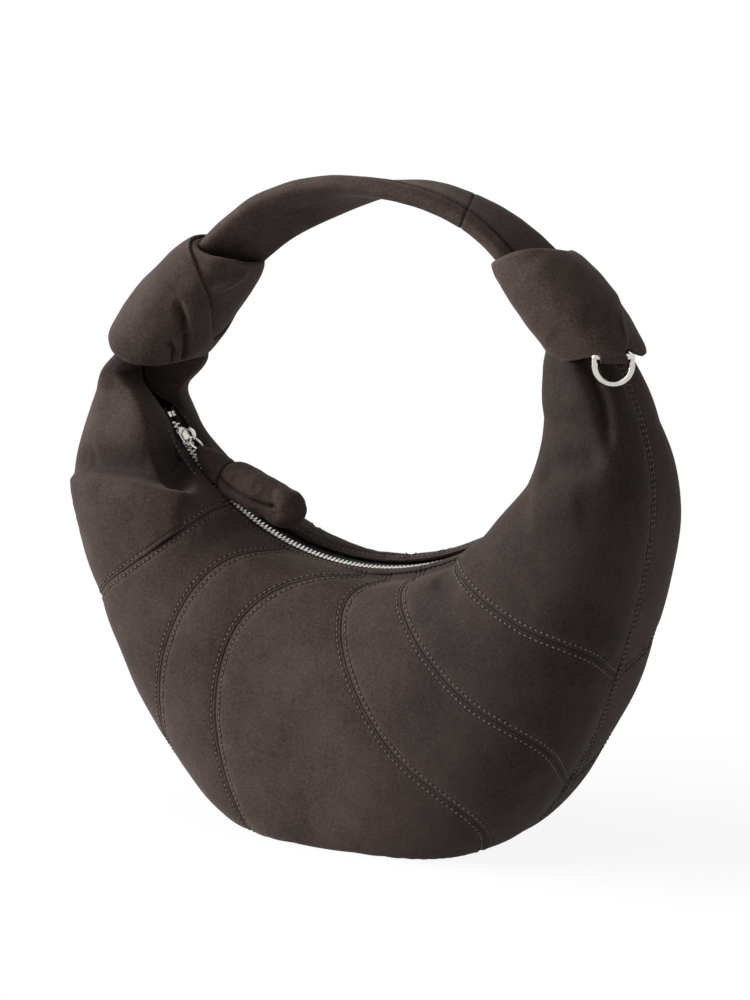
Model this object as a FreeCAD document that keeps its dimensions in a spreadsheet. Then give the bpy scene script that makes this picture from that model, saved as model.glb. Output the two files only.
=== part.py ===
"""Half moon shoulder bag with a knotted handle, built as separate pieces.

Millimetres and degrees. +Z is up, the front is -Y, the bag stands on z = 0 and its
middle is at x = 0, y = 0. Pieces that can be drawn with simple solids are bound to the
sheet by expressions; the soft leather shapes are formed in code from the same sheet.
"""
import FreeCAD, Part
import math
import os
from FreeCAD import Matrix, Placement, Rotation, Vector

SIZES = [
    ("half_width", 156, "half the width of the bag at its widest height"),
    ("widest_height", 172, "height at which the bag is widest"),
    ("belly_sink", 18, "how far below the floor the round belly would end if it were not pressed flat"),
    ("belly_fullness", 2.06, "roundness of the lower outline, 2 is an ellipse"),
    ("shoulder_rise", 165, "from the widest height up to the top of the shoulder ellipse"),
    ("hole_half_width", 112, "half the width of the arm hole between the rims"),
    ("hole_height", 235, "height of the centre of the arm hole"),
    ("hole_drop", 93, "from the centre of the arm hole down to the rim"),
    ("hole_fullness", 2.4, "roundness of the lower edge of the arm hole"),
    ("mid_half_depth", 57, "half the depth of the belly at the middle"),
    ("end_half_depth", 15, "half the depth that the horns narrow towards"),
    ("depth_power", 4, "how late along the horn the depth narrows"),
    ("belly_place_share", 0.55, "where the belly is deepest, as a share of rim to outer seam"),
    ("upper_round_power", 0.60, "roundness of the section above the belly"),
    ("lower_round_power", 0.58, "roundness of the section below the belly"),
    ("rim_mid_share", 0.28, "rim crest from the middle plane, as a share of the half depth"),
    ("rim_gain_share", 0.17, "how much that share grows towards the horns"),
    ("mouth_half_gap", 8, "half the gap between the leather edges along the zip"),
    ("closed_half_gap", 1.2, "half that gap past the ends of the zip"),
    ("lip_lift", 2.6, "leather edge above the zip tape"),
    ("rim_lift", 1.5, "rim crest above the leather edge, at the least"),
    ("horn_end_angle", 84, "angle from straight down at which the horn panels end"),
    ("leather", 2.0, "thickness of the backed leather"),
    ("puff", 2.0, "how far each panel swells between its seams"),
    ("seam_gap", 0.4, "gap between neighbouring panels"),
    ("base_sink", 1.2, "how far the belly is pressed past the floor before it is cut flat"),
    ("base_round", 4, "softness of the edge round the flat base"),
    ("seam_1_top_angle", -46, "seam angles: at the rim, at one third, at two thirds, at the outer seam"),
    ("seam_1_third_angle", -46.5, ""),
    ("seam_1_low_angle", -48.5, ""),
    ("seam_1_end_angle", -46, ""),
    ("seam_2_top_angle", -25, ""),
    ("seam_2_third_angle", -33.5, ""),
    ("seam_2_low_angle", -28.5, ""),
    ("seam_2_end_angle", -24, ""),
    ("seam_3_top_angle", 2, ""),
    ("seam_3_third_angle", -20.5, ""),
    ("seam_3_low_angle", -14, ""),
    ("seam_3_end_angle", -14, ""),
    ("seam_4_top_angle", 27, ""),
    ("seam_4_third_angle", 5.5, ""),
    ("seam_4_low_angle", 19, ""),
    ("seam_4_end_angle", 20, ""),
    ("seam_5_top_angle", 35, ""),
    ("seam_5_third_angle", 23.5, ""),
    ("seam_5_low_angle", 33.5, ""),
    ("seam_5_end_angle", 32.5, ""),
    ("seam_6_top_angle", 44, ""),
    ("seam_6_third_angle", 43.5, ""),
    ("seam_6_low_angle", 48.5, ""),
    ("seam_6_end_angle", 48, ""),
    ("lining_offset", 4.0, "lining behind the outer face of the leather"),
    ("lining", 0.7, "thickness of the lining"),
    ("lining_end_angle", 78, "angle at which the lining ends in the horns"),
    ("board_margin", 18.8, "end of the stiffening board from the end of the flat base"),
    ("board_width", 52, ""),
    ("board_thick", 1.8, ""),
    ("board_corner", 12, "corner radius of the board"),
    ("board_lift", 2.3, "underside of the board above the floor"),
    ("zip_radius", 135, "radius of the zip's arc, to the upper face of the tape"),
    ("zip_centre_height", 271, "height of the centre of that arc"),
    ("tape_half_angle", 63, "half the angle that the tape runs through"),
    ("tape_thick", 0.8, ""),
    ("tape_inner", 3.1, "inner edge of each tape from the middle"),
    ("tape_outer", 12.5, "outer edge of each tape from the middle"),
    ("tooth_pitch", 2.4, "spacing of the teeth of one row"),
    ("tooth_length", 1.3, "tooth along the zip"),
    ("tooth_height", 2.4, ""),
    ("tooth_inner", 0.7, "tip of a tooth from the middle"),
    ("tooth_outer", 3.0, "root of a tooth from the middle"),
    ("teeth_half_angle", 59.5, "half the angle that the teeth run through"),
    ("stop_angle", 61.2, "angle of the stops at both ends"),
    ("stop_length", 3.0, ""),
    ("slider_angle", 55, "angle of the slider from straight down when the zip is closed"),
    ("slider_length", 11, ""),
    ("slider_width", 10.4, ""),
    ("slider_plate", 1.2, "thickness of each plate of the slider"),
    ("slider_half_gap", 1.7, "from the middle of the chain to each plate"),
    ("slider_flange", 0.8, "width of the side flanges"),
    ("slider_flange_gap", 0.9, "from the middle of the tape to each flange"),
    ("slider_post", 0.7, "thickness of the post that joins the plates"),
    ("crown_lift", 1.1, "centre of the crown's eye above the upper plate"),
    ("crown_eye", 3.0, "radius of the crown's eye"),
    ("crown_thick", 1.4, "thickness of the crown's bow"),
    ("crown_width", 2.2, ""),
    ("ring_radius", 4.2, "pull ring, to the middle of the wire"),
    ("ring_wire", 0.7, "radius of the pull ring's wire"),
    ("ring_seat", 1.9, "near side of the pull ring from the middle of the eye"),
    ("ring_lean_angle", 12, "angle of the pull ring above the zip"),
    ("pull_lean_angle", 30, "angle of the pull above the zip"),
    ("loop_eye", 1.1, "radius of the eye of the pull's loop"),
    ("loop_thick", 1.3, ""),
    ("loop_width", 2.8, ""),
    ("sleeve_length", 21, "from the loop's eye to the padded part"),
    ("sleeve_end_radius", 8.4, ""),
    ("puff_length", 46, "padded part of the pull"),
    ("puff_half_height", 9.3, ""),
    ("puff_half_width", 10.5, ""),
    ("puff_leather", 1.2, "leather of the padded part"),
    ("puff_clearance", 0.3, "between the leather and the filling"),
    ("neck_rise", 9, "hinge line of the handle above the centre of the arm hole"),
    ("neck_half_depth", 20, "radius of the rounded neck about the hinge line"),
    ("neck_half_width", 16.5, "half the width of the rounded neck, seen from the front"),
    ("neck_gap", 0.4, "between neck and knot, and between neck and horn"),
    ("collar_drop", 10, "top of the collar below the hinge line"),
    ("knot_lean_angle", 38, "lean of the knots towards the middle"),
    ("knot_start", 8, "lower edge of the knot from the hinge line"),
    ("knot_length", 58, ""),
    ("knot_half_width", 21.5, "half the width of the knot, seen from the front"),
    ("knot_half_depth", 26.5, "half the depth of the knot"),
    ("strap_radius", 123, "radius of the handle's arc, to the middle of the strap"),
    ("strap_top", 329, "height of the middle of the strap at the top"),
    ("strap_half_angle", 50, "half the angle that the strap runs through"),
    ("strap_join_angle", 26, "angle of the cross seam from the top"),
    ("strap_half_width", 17.5, ""),
    ("strap_half_thick", 7.0, ""),
    ("strap_roll_left_angle", 58, "roll of the strap at the left knot"),
    ("strap_roll_right_angle", 14, "roll of the strap at the right knot"),
    ("strap_leather", 1.8, ""),
    ("strap_gap", 0.35, "between strap, core and knot"),
    ("dee_radius", 9, "D ring, to the middle of the wire"),
    ("dee_wire", 1.5, "radius of the D ring's wire"),
    ("dee_leg", 4, "straight sides of the D ring below its bar"),
    ("dee_turn_angle", 55, "how far the D ring sits round from the side of the neck to the front"),
    ("dee_out", 22, "D ring's bar from the middle of the neck"),
    ("dee_height", 255, "height of the D ring's bar"),
    ("tab_width", 13, "leather loop that holds the D ring"),
    ("tab_thick", 1.3, ""),
    ("tab_eye", 1.9, "radius of the loop's eye"),
    ("tab_hold", 7, "how far up the knot the loop is caught, from its lower edge"),
]

doc = FreeCAD.newDocument("half_moon_bag")
sheet = doc.addObject("Spreadsheet::Sheet", "Sizes")
for row, (alias, value, meaning) in enumerate(SIZES, 1):
    sheet.set("A%d" % row, meaning)
    sheet.set("B%d" % row, str(value))
    sheet.setAlias("B%d" % row, alias)
doc.recompute()

nodes = []


def size(name):
    """Value of one cell of the sheet."""
    return float(sheet.get(name))


def bind(thing, **formulas):
    """Tie properties of an object to the sheet; cell names are written without the sheet's name."""
    for prop, formula in formulas.items():
        words = formula.replace("(", " ( ").replace(")", " ) ").split()
        names = {alias for alias, value, meaning in SIZES}
        text = " ".join("Sizes.%s" % word if word in names else word for word in words)
        thing.setExpression(prop.replace("__", "."), text)


def keep(thing, label):
    """Mark an object as a finished piece."""
    thing.Label = label
    nodes.append(thing)
    return thing


def solid_piece(label, shape, placement=None):
    """Finished piece from a shape formed in code."""
    thing = doc.addObject("Part::Feature", label)
    thing.Shape = shape
    if placement:
        thing.Placement = placement
    return keep(thing, label)


def primitive(kind, name, **formulas):
    thing = doc.addObject("Part::" + kind, name)
    bind(thing, **formulas)
    return thing


def fused(name, *things):
    joined = doc.addObject("Part::MultiFuse", name)
    joined.Shapes = list(things)
    return joined


# Outline of the bag, seen from the front

def radius_to(angle, half_width, centre_height, drop, fullness, rise):
    """Distance from the centre of the arm hole to an outline, at an angle from straight down."""
    near, far = 0.0, 600.0
    for _ in range(44):
        middle = (near + far) / 2
        across = abs(middle * math.sin(angle)) / half_width
        up = HOLE_HEIGHT - middle * math.cos(angle) - centre_height
        power, reach = (fullness, drop) if up < 0 else (2.0, rise)
        if across ** power + (abs(up) / reach) ** power < 1:
            near = middle
        else:
            far = middle
    return near


HOLE_HEIGHT = size("hole_height")
OUTER = [size("half_width"), size("widest_height"), size("widest_height") + size("belly_sink"),
         size("belly_fullness"), size("shoulder_rise")]
HOLE = [size(n) for n in ("hole_half_width", "hole_height", "hole_drop", "hole_fullness", "shoulder_rise")]


def zip_reach(angle):
    """Distance from the centre of the arm hole to the zip's arc."""
    lift = size("zip_centre_height") - HOLE_HEIGHT
    across = lift * math.cos(angle)
    return math.sqrt(max(across ** 2 - lift ** 2 + size("zip_radius") ** 2, 1.0)) - across


def smooth(value, low, high):
    """0 below low, 1 above high, eased between."""
    share = min(max((value - low) / (high - low), 0.0), 1.0)
    return share * share * (3 - 2 * share)


class Section:
    """Sizes of the bag's section at one angle from straight down."""

    known = {}

    def __init__(self, angle):
        turn = abs(math.degrees(angle))
        end = size("horn_end_angle")
        self.outer = radius_to(angle, *OUTER)
        self.lip = zip_reach(angle) - size("lip_lift")
        self.rim = min(radius_to(angle, *HOLE), self.lip - size("rim_lift"))
        narrow = min(turn / 90, 1.05) ** size("depth_power")
        self.depth = size("end_half_depth") + (size("mid_half_depth") - size("end_half_depth")) * (1 - narrow)
        share = size("rim_mid_share") + size("rim_gain_share") * (turn / end) ** 2
        self.crest = share * self.depth
        closing = smooth(turn, end - 9, end - 1.5)
        self.mouth = size("mouth_half_gap") + (size("closed_half_gap") - size("mouth_half_gap")) * closing
        self.mouth = min(self.mouth, 0.8 * self.crest)

    @classmethod
    def at(cls, angle):
        key = round(angle, 7)
        if key not in cls.known:
            cls.known[key] = cls(angle)
        return cls.known[key]


def seam_share(place):
    """How far round the section a place is: -1 zip edge, 0 rim crest, 1 belly, 2 outer seam."""
    if place <= 0:
        return 0.0
    if place <= 1:
        return 0.5 * place ** 1.4
    return 1 - 0.5 * (2 - place) ** 1.4


def raw_point(angle, place):
    """Point of the front half before the floor flattens it."""
    section = Section.at(angle)
    turn = math.pi * seam_share(place)
    span = section.outer - section.rim
    deep = size("belly_place_share")
    if place <= 0:
        share = 1 + place
        radius = section.lip - (section.lip - section.rim) * math.sin(share * math.pi / 2)
        depth = section.mouth + (section.crest - section.mouth) * share
    elif place <= 1:
        radius = section.rim + span * deep * (1 - math.cos(turn))
        depth = section.crest + (section.depth - section.crest) * math.sin(turn) ** size("upper_round_power")
    else:
        edge = size("seam_gap") / 2
        radius = section.rim + span * (deep - (1 - deep) * math.cos(turn))
        depth = edge + (section.depth - edge) * max(math.sin(turn), 0.0) ** size("lower_round_power")
    return Vector(radius * math.sin(angle), -depth, HOLE_HEIGHT - radius * math.cos(angle))


def outward(angle, place):
    """Direction straight out of the leather."""
    step = 0.004
    low, high = max(place - 0.02, -1.0), min(place + 0.02, 2.0)
    along = raw_point(angle + step, place) - raw_point(angle - step, place)
    around = raw_point(angle, high) - raw_point(angle, low)
    normal = around.cross(along)
    normal.normalize()
    return normal


def floored(point, floor):
    """Soften a point towards a floor, so that the base comes out flat with a round edge."""
    ease = size("base_round")
    rise = (point.z - floor) / ease
    height = floor + ease * (rise if rise > 30 else math.log1p(math.exp(rise)))
    return Vector(point.x, point.y, height)


def skin_point(angle, place, swell, under, side):
    """Point of a swollen panel, at a depth under its outer face; side -1 is the front, 1 the back."""
    point = raw_point(angle, place) + outward(angle, place) * (swell - under)
    point = floored(point, under - size("base_sink"))
    point.y = -side * point.y
    return point


def spline_surface(grid, closed=False):
    """Smooth surface that follows a grid of points; closed joins each row's end to its start."""
    def clamped(count):
        return [4] + [1] * (count - 4) + [4], list(range(count - 2))

    rows, columns = len(grid), len(grid[0])
    row_counts, row_knots = clamped(rows)
    if closed:
        column_counts, column_knots = [1] * (columns + 1), list(range(columns + 1))
    else:
        column_counts, column_knots = clamped(columns)
    surface = Part.BSplineSurface()
    surface.buildFromPolesMultsKnots(grid, row_counts, column_counts, row_knots, column_knots,
                                     False, closed, 3, 3)
    return surface


def sewn_solid(faces):
    shell = Part.makeShell(faces)
    shell.sewShape()
    solid = Part.makeSolid(shell)
    if solid.Volume < 0:
        solid.reverse()
    return solid


def grid_solid(outer, inner):
    """Closed solid between two grids of points."""
    skins = [spline_surface(outer), spline_surface(inner)]
    faces = [surface.toShape() for surface in skins]
    first, last, start, stop = skins[0].bounds()
    for place in (first, last):
        edges = [surface.uIso(place).toShape() for surface in skins]
        faces.append(Part.makeRuledSurface(edges[0], edges[1], 1))
    for place in (start, stop):
        edges = [surface.vIso(place).toShape() for surface in skins]
        faces.append(Part.makeRuledSurface(edges[0], edges[1], 1))
    return sewn_solid(faces)


def tube_solid(rings):
    """Solid through rings of points, closed by flat ends."""
    surface = spline_surface(rings, True)
    faces = [surface.toShape()]
    first, last, start, stop = surface.bounds()
    for place in (first, last):
        faces.append(Part.Face(Part.Wire(surface.uIso(place).toShape())))
    return sewn_solid(faces)


def oval(middle, across, up, power=1.0, count=28):
    """Ring of points round a middle; across and up are vectors to the sides, a low power is boxier."""
    ring = []
    for number in range(count):
        turn = 2 * math.pi * number / count
        side, height = math.cos(turn), math.sin(turn)
        ring.append(middle + across * math.copysign(abs(side) ** power, side)
                    + up * math.copysign(abs(height) ** power, height))
    return ring


# Leather panels

def seam_angle(seam, share):
    """Angle of a seam at a share of the way from rim to outer seam, through its four sheet values."""
    if seam == 0 or seam == 7:
        return math.radians(size("horn_end_angle")) * (-1 if seam == 0 else 1)
    total = 0.0
    stops = (0.0, 1 / 3, 2 / 3, 1.0)
    for stop, name in zip(stops, ("top", "third", "low", "end")):
        weight = 1.0
        for other in stops:
            if other != stop:
                weight *= (share - other) / (stop - other)
        total += weight * size("seam_%d_%s_angle" % (seam, name))
    return math.radians(total)


PLACES = [-1 + n / 3 for n in range(3)] + [n / 9 for n in range(19)]
PANELS = ("horn_left", "side_left", "mid_left", "centre", "mid_right", "side_right", "horn_right")
COLUMNS = 9

below = 4 * size("half_width")
floor_block = Part.makeBox(below, below, below, Vector(-below / 2, -below / 2, -below))


def panel(number, side):
    outer, inner = [], []
    for column in range(COLUMNS):
        across = column / (COLUMNS - 1)
        outer_row, inner_row = [], []
        for place in PLACES:
            share = seam_share(place)
            left, right = seam_angle(number, share), seam_angle(number + 1, share)
            trim = size("seam_gap") / 2 / (Section.at(0.0).rim + 20)
            angle = left + trim + (right - left - 2 * trim) * across
            swell = size("puff") * (4 * across * (1 - across)) ** 0.8 * math.sin(math.pi * (place + 1) / 3) ** 0.7
            outer_row.append(skin_point(angle, place, swell, 0.0, side))
            inner_row.append(skin_point(angle, place, swell, size("leather"), side))
        outer.append(outer_row)
        inner.append(inner_row)
    solid = grid_solid(outer, inner)
    if solid.BoundBox.ZMin < 0:
        solid = solid.cut(floor_block).Solids[0]
    return solid


for number, name in enumerate(PANELS):
    for side, half in ((-1, "front"), (1, "back")):
        solid_piece("%s_%s" % (half, name), panel(number, side))


# Lining and base board

def lining(side):
    """Half of the lining: under the zip tape at the top, then inside the leather."""
    reach = math.radians(size("lining_end_angle"))
    layers = []
    for out in (size("lining_offset"), size("lining_offset") + size("lining")):
        rows = []
        for column in range(25):
            angle = reach * (column / 12 - 1)
            section = Section.at(angle)
            row = []
            for step in range(19):
                place = -1 + step * 3 / 18
                inside = raw_point(angle, place) - outward(angle, place) * out
                radius = math.hypot(inside.x, inside.z - HOLE_HEIGHT)
                under = section.lip + size("lip_lift") + size("tape_thick") + 0.6 + out - size("lining_offset")
                radius = max(radius, under)
                depth = min(inside.y, -(section.mouth + 1) - step * 0.15)
                if place > 1.6:
                    depth = min(inside.y, -size("seam_gap") / 2)
                point = Vector(radius * math.sin(angle), depth, HOLE_HEIGHT - radius * math.cos(angle))
                board_top = size("board_lift") + size("board_thick") + 0.4
                point = floored(point, board_top + out - size("lining_offset"))
                row.append(Vector(point.x, -side * point.y, point.z))
            rows.append(row)
        layers.append(rows)
    return grid_solid(layers[0], layers[1])


solid_piece("lining_front", lining(-1))
solid_piece("lining_back", lining(1))

base_reach = "half_width * ( 1 - ( widest_height / ( widest_height + belly_sink ) ) ^ belly_fullness ) " \
             "^ ( 1 / belly_fullness )"
board_reach = "( %s - board_margin )" % base_reach
board = primitive("Box", "board_block", Length="2 * " + board_reach, Width="board_width", Height="board_thick",
                  Placement__Base__x="0 - " + board_reach,
                  Placement__Base__y="0 - board_width / 2", Placement__Base__z="board_lift")
doc.recompute()
rounded_board = doc.addObject("Part::Fillet", "base_board")
rounded_board.Base = board
upright = [n for n, edge in enumerate(board.Shape.Edges, 1)
           if abs(edge.Vertexes[0].Point.z - edge.Vertexes[1].Point.z) > 1e-6]
rounded_board.Edges = [(n, size("board_corner"), size("board_corner")) for n in upright]
keep(rounded_board, "base_board")


# Zip

def zip_placement(angle):
    """Frame on the zip's arc: x along the zip to the right, y back, z towards the arc's centre."""
    turn = math.radians(angle)
    radius = size("zip_radius") + size("tape_thick") / 2
    spot = Vector(radius * math.sin(turn), 0, size("zip_centre_height") - radius * math.cos(turn))
    return Placement(spot, Rotation(Vector(0, 1, 0), -angle))


def tape(label, side):
    """Tape as a body: a thin rectangle turned about the centre of the zip's arc."""
    body = doc.addObject("PartDesign::Body", label)
    sketch = body.newObject("Sketcher::SketchObject", label + "_profile")
    sketch.Placement = Placement(Vector(0, 0, 0), Rotation(Vector(1, 1, 1), 120))
    middle = side * (size("tape_inner") + size("tape_outer")) / 2
    half = (size("tape_outer") - size("tape_inner")) / 2
    top = size("zip_centre_height") - size("zip_radius")
    under = top - size("tape_thick")
    corners = [Vector(middle - half, top, 0), Vector(middle + half, top, 0),
               Vector(middle + half, under, 0), Vector(middle - half, under, 0)]
    for start, stop in zip(corners, corners[1:] + corners[:1]):
        sketch.addGeometry(Part.LineSegment(start, stop), False)
    turning_line = Part.LineSegment(Vector(-size("tape_outer"), size("zip_centre_height"), 0),
                                    Vector(size("tape_outer"), size("zip_centre_height"), 0))
    sketch.addGeometry(turning_line, True)
    doc.recompute()
    turned = body.newObject("PartDesign::Revolution", label + "_turned")
    turned.Profile = sketch
    turned.ReferenceAxis = (sketch, ["Axis0"])
    turned.Midplane = True
    bind(turned, Angle="tape_half_angle * 2")
    sketch.Visibility = False
    body.Tip = turned
    return keep(body, label)


tape("zip_tape_front", -1)
tape("zip_tape_back", 1)


def teeth(side):
    """One row of teeth, the two rows half a pitch apart."""
    radius = size("zip_radius") + size("tape_thick") / 2
    step = math.degrees(size("tooth_pitch") / radius)
    count = int(2 * size("teeth_half_angle") / step)
    width = size("tooth_outer") - size("tooth_inner")
    near = size("tooth_inner") if side > 0 else -size("tooth_outer")
    row = []
    for number in range(count):
        angle = (number - (count - 1) / 2 + side / 4) * step
        tooth = Part.makeBox(size("tooth_length"), width, size("tooth_height"),
                             Vector(-size("tooth_length") / 2, near, -size("tooth_height") / 2))
        tooth.Placement = zip_placement(angle)
        row.append(tooth)
    return Part.makeCompound(row)


solid_piece("zip_teeth_front", teeth(-1))
solid_piece("zip_teeth_back", teeth(1))


def stop_half(name, low, high, bottom):
    """Upper or lower half of a clamp across part of the chain, in the zip's frame."""
    return primitive("Box", name, Length="stop_length", Width="( %s ) - ( %s )" % (high, low),
                     Height="tooth_height / 2", Placement__Base__x="0 - stop_length / 2", Placement__Base__y=low,
                     Placement__Base__z=bottom)


for label, low, high, end in (("zip_top_stop_front", "0 - tooth_outer", "0 - tooth_inner", -1),
                              ("zip_top_stop_back", "tooth_inner", "tooth_outer", -1),
                              ("zip_bottom_stop", "0 - tooth_outer", "tooth_outer", 1)):
    clamp = fused(label, stop_half(label + "_over", low, high, "0"),
                  stop_half(label + "_under", low, high, "0 - tooth_height / 2"))
    clamp.Placement = zip_placement(end * size("stop_angle"))
    keep(clamp, label)


# Slider with its crown

def slider_box(name, length, low, high, bottom, top, start="0 - slider_length / 2"):
    return primitive("Box", name, Length=length, Width="( %s ) - ( %s )" % (high, low),
                     Height="( %s ) - ( %s )" % (top, bottom), Placement__Base__x=start,
                     Placement__Base__y=low, Placement__Base__z=bottom)


half = "slider_width / 2"
plates = []
for name, bottom, top in (("upper", "slider_half_gap", "slider_half_gap + slider_plate"),
                          ("lower", "0 - slider_half_gap - slider_plate", "0 - slider_half_gap")):
    plates.append(slider_box("slider_%s" % name, "slider_length", "0 - " + half, half, bottom, top))
for name, bottom, top in (("upper", "slider_flange_gap", "slider_half_gap"),
                          ("lower", "0 - slider_half_gap", "0 - slider_flange_gap")):
    plates.append(slider_box("slider_%s_flange_front" % name, "slider_length", "0 - " + half,
                             "slider_flange - " + half, bottom, top))
    plates.append(slider_box("slider_%s_flange_back" % name, "slider_length", half + " - slider_flange",
                             half, bottom, top))
plates.append(slider_box("slider_post_block", "slider_length / 5", "0 - slider_post / 2", "slider_post / 2",
                         "0 - slider_half_gap", "slider_half_gap", "0 - slider_length * 2 / 5"))
slider_body = fused("slider_body", *plates)
slider_place = zip_placement(-size("slider_angle"))
slider_body.Placement = slider_place
keep(slider_body, "slider_body")

eye_height = size("slider_half_gap") + size("slider_plate") + size("crown_lift")
bow_radius = size("crown_eye") + size("crown_thick")


def bow(radius, width):
    """Upright oval seen from the side: a half round on two legs, as thick as width."""
    foot = size("slider_half_gap") + size("slider_plate") + 0.2
    left, right = Vector(-radius, -width / 2, foot), Vector(radius, -width / 2, foot)
    shoulder_left, shoulder_right = Vector(-radius, -width / 2, eye_height), Vector(radius, -width / 2, eye_height)
    edges = [Part.makeLine(left, shoulder_left),
             Part.Arc(shoulder_left, Vector(0, -width / 2, eye_height + radius), shoulder_right).toShape(),
             Part.makeLine(shoulder_right, right), Part.makeLine(right, left)]
    return Part.Face(Part.Wire(edges)).extrude(Vector(0, width, 0))


crown = bow(bow_radius, size("crown_width")).cut(bow(size("crown_eye"), size("crown_width") + 2))
solid_piece("slider_crown", crown, slider_place)


# Pull ring and pull

eye = slider_place.multVec(Vector(0, 0, eye_height))


def lean_placement(spot, lean):
    """Frame at a spot whose x leans up from the zip by an angle, in the slider's frame."""
    return Placement(spot, slider_place.Rotation.multiply(Rotation(Vector(0, 1, 0), -lean)))


ring_place = lean_placement(eye, size("ring_lean_angle"))
ring_middle = size("ring_seat") + size("ring_radius")
ring = primitive("Torus", "pull_ring", Radius1="ring_radius", Radius2="ring_wire")
ring.Placement = ring_place.multiply(Placement(Vector(ring_middle, 0, 0), Rotation()))
keep(ring, "pull_ring")

pull_eye = ring_place.multVec(Vector(ring_middle + size("ring_radius"), 0, 0))
pull_place = lean_placement(pull_eye, size("pull_lean_angle"))


def pull_ring_points(along, half_width, half_height, power=1.0):
    """Ring of points across the pull at a distance along it."""
    return oval(Vector(along, 0, 0), Vector(0, half_width, 0), Vector(0, 0, half_height), power)


def sleeve():
    """Leather loop through the ring that widens into the padded part."""
    outer = size("loop_eye") + size("loop_thick")
    loop = Part.makeCylinder(outer, size("loop_width"), Vector(0, -size("loop_width") / 2, 0), Vector(0, 1, 0))
    start = outer * 0.8
    end = size("sleeve_length") - 0.3
    wide = size("sleeve_end_radius")
    rings = [pull_ring_points(start, size("loop_width") / 2, outer * 0.6),
             pull_ring_points(start + 2, size("loop_width") / 2, outer * 0.8),
             pull_ring_points(start + 6, wide * 0.6, wide * 0.6),
             pull_ring_points((start + end) / 2 + 2, wide * 0.85, wide * 0.75),
             pull_ring_points(end - 3, wide, wide * 0.9),
             pull_ring_points(end, wide * 0.97, wide * 0.87)]
    horn = tube_solid(rings)
    hole = Part.makeCylinder(size("loop_eye"), 40, Vector(0, -20, 0), Vector(0, 1, 0))
    return loop.fuse(horn).cut(hole)


def padded(inset):
    """Padded part of the pull, taken in all round by an inset."""
    start = size("sleeve_length") + inset
    length = size("puff_length") - 2 * inset
    shares = (0.0, 0.12, 0.34, 0.62, 0.86, 1.0)
    fullness = (0.66, 0.86, 0.98, 1.0, 0.9, 0.62)
    rings = []
    for share, full in zip(shares, fullness):
        rings.append(pull_ring_points(start + share * length, size("puff_half_width") * full - inset,
                                      size("puff_half_height") * full - inset, 0.85))
    return tube_solid(rings)


solid_piece("pull_sleeve", sleeve(), pull_place)
solid_piece("pull_puff", padded(0).cut(padded(size("puff_leather"))), pull_place)
solid_piece("pull_filling", padded(size("puff_leather") + size("puff_clearance")), pull_place)


# Necks, where the horns are gathered into the knots

horn_end = math.radians(size("horn_end_angle"))
end_section = Section.at(horn_end)
neck_x = (end_section.rim + end_section.outer) / 2 * math.sin(horn_end)
neck_height = HOLE_HEIGHT + size("neck_rise")
neck_half_width = size("neck_half_width")


def neck_ball(extra, side):
    """Round neck, turned about the handle's hinge line, so that a knot can rock over it."""
    stretch = Matrix()
    stretch.scale(neck_half_width + extra, size("neck_half_depth") + extra, size("neck_half_depth") + extra)
    ball = Part.makeSphere(1.0).transformGeometry(stretch)
    ball.translate(Vector(side * neck_x, 0, neck_height))
    return ball


def neck(side):
    """Neck as one smooth solid: the horn's end section, drawn in and then rounded over the hinge line."""
    lift = Vector(math.cos(horn_end), 0, math.sin(horn_end)) * size("neck_gap")
    half_depth = size("neck_half_depth")
    low = [raw_point(horn_end, n / 6) + lift for n in range(1, 12)]
    low += [Vector(point.x, -point.y, point.z) for point in reversed(low)]
    turns = [math.atan2(point.y / end_section.depth, (point.x - neck_x) / neck_half_width) for point in low]

    def round_ring(climb):
        wide = neck_half_width * math.cos(climb)
        deep = half_depth * math.cos(climb)
        height = neck_height + half_depth * math.sin(climb)
        return [Vector(neck_x + wide * math.cos(turn), deep * math.sin(turn), height) for turn in turns]

    first = -math.asin(min(size("collar_drop") / half_depth, 0.8))
    last = math.radians(82)
    high = round_ring(first)
    rings = []
    for share in (0.0, 0.3, 0.65):
        rings.append([bottom + (top - bottom) * share for bottom, top in zip(low, high)])
    for step in range(9):
        rings.append(round_ring(first + (last - first) * step / 8))
    return tube_solid([[Vector(side * point.x, point.y, point.z) for point in ring] for ring in rings])


solid_piece("neck_left", neck(-1))
solid_piece("neck_right", neck(1))


# Handle: two straps over one core, held by a knot at each end

def strap_frame(angle):
    """Middle, outward direction and forward direction of the strap at an angle from its top."""
    outward_way = Vector(math.sin(angle), 0, math.cos(angle))
    centre = Vector(0, 0, size("strap_top") - size("strap_radius"))
    return centre + outward_way * size("strap_radius"), outward_way


def strap_ring(angle, inset):
    """Ring of points across the strap, rolled about its run."""
    middle, out = strap_frame(angle)
    reach = math.radians(size("strap_half_angle"))
    share = smooth(angle / reach, -0.75, 0.7)
    left, right = size("strap_roll_left_angle"), size("strap_roll_right_angle")
    roll = math.radians(left + (right - left) * share)
    front = Vector(0, -1, 0)
    wide = front * math.cos(roll) + out * math.sin(roll)
    thick = out * math.cos(roll) - front * math.sin(roll)
    narrow = 1 - 0.12 * abs(angle / reach) ** 3
    return oval(middle, wide * (size("strap_half_width") * narrow - inset),
                thick * (size("strap_half_thick") - inset), 0.8)


def strap_solid(first, last, inset):
    count = max(6, int(abs(last - first) / 5) + 2)
    angles = [math.radians(first + (last - first) * n / (count - 1)) for n in range(count)]
    return tube_solid([strap_ring(angle, inset) for angle in angles])


def knot_axes(side):
    """Direction up the knot and direction across it, away from the middle."""
    lean = math.radians(size("knot_lean_angle"))
    return (Vector(-side * math.sin(lean), 0, math.cos(lean)),
            Vector(side * math.cos(lean), 0, math.sin(lean)))


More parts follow.
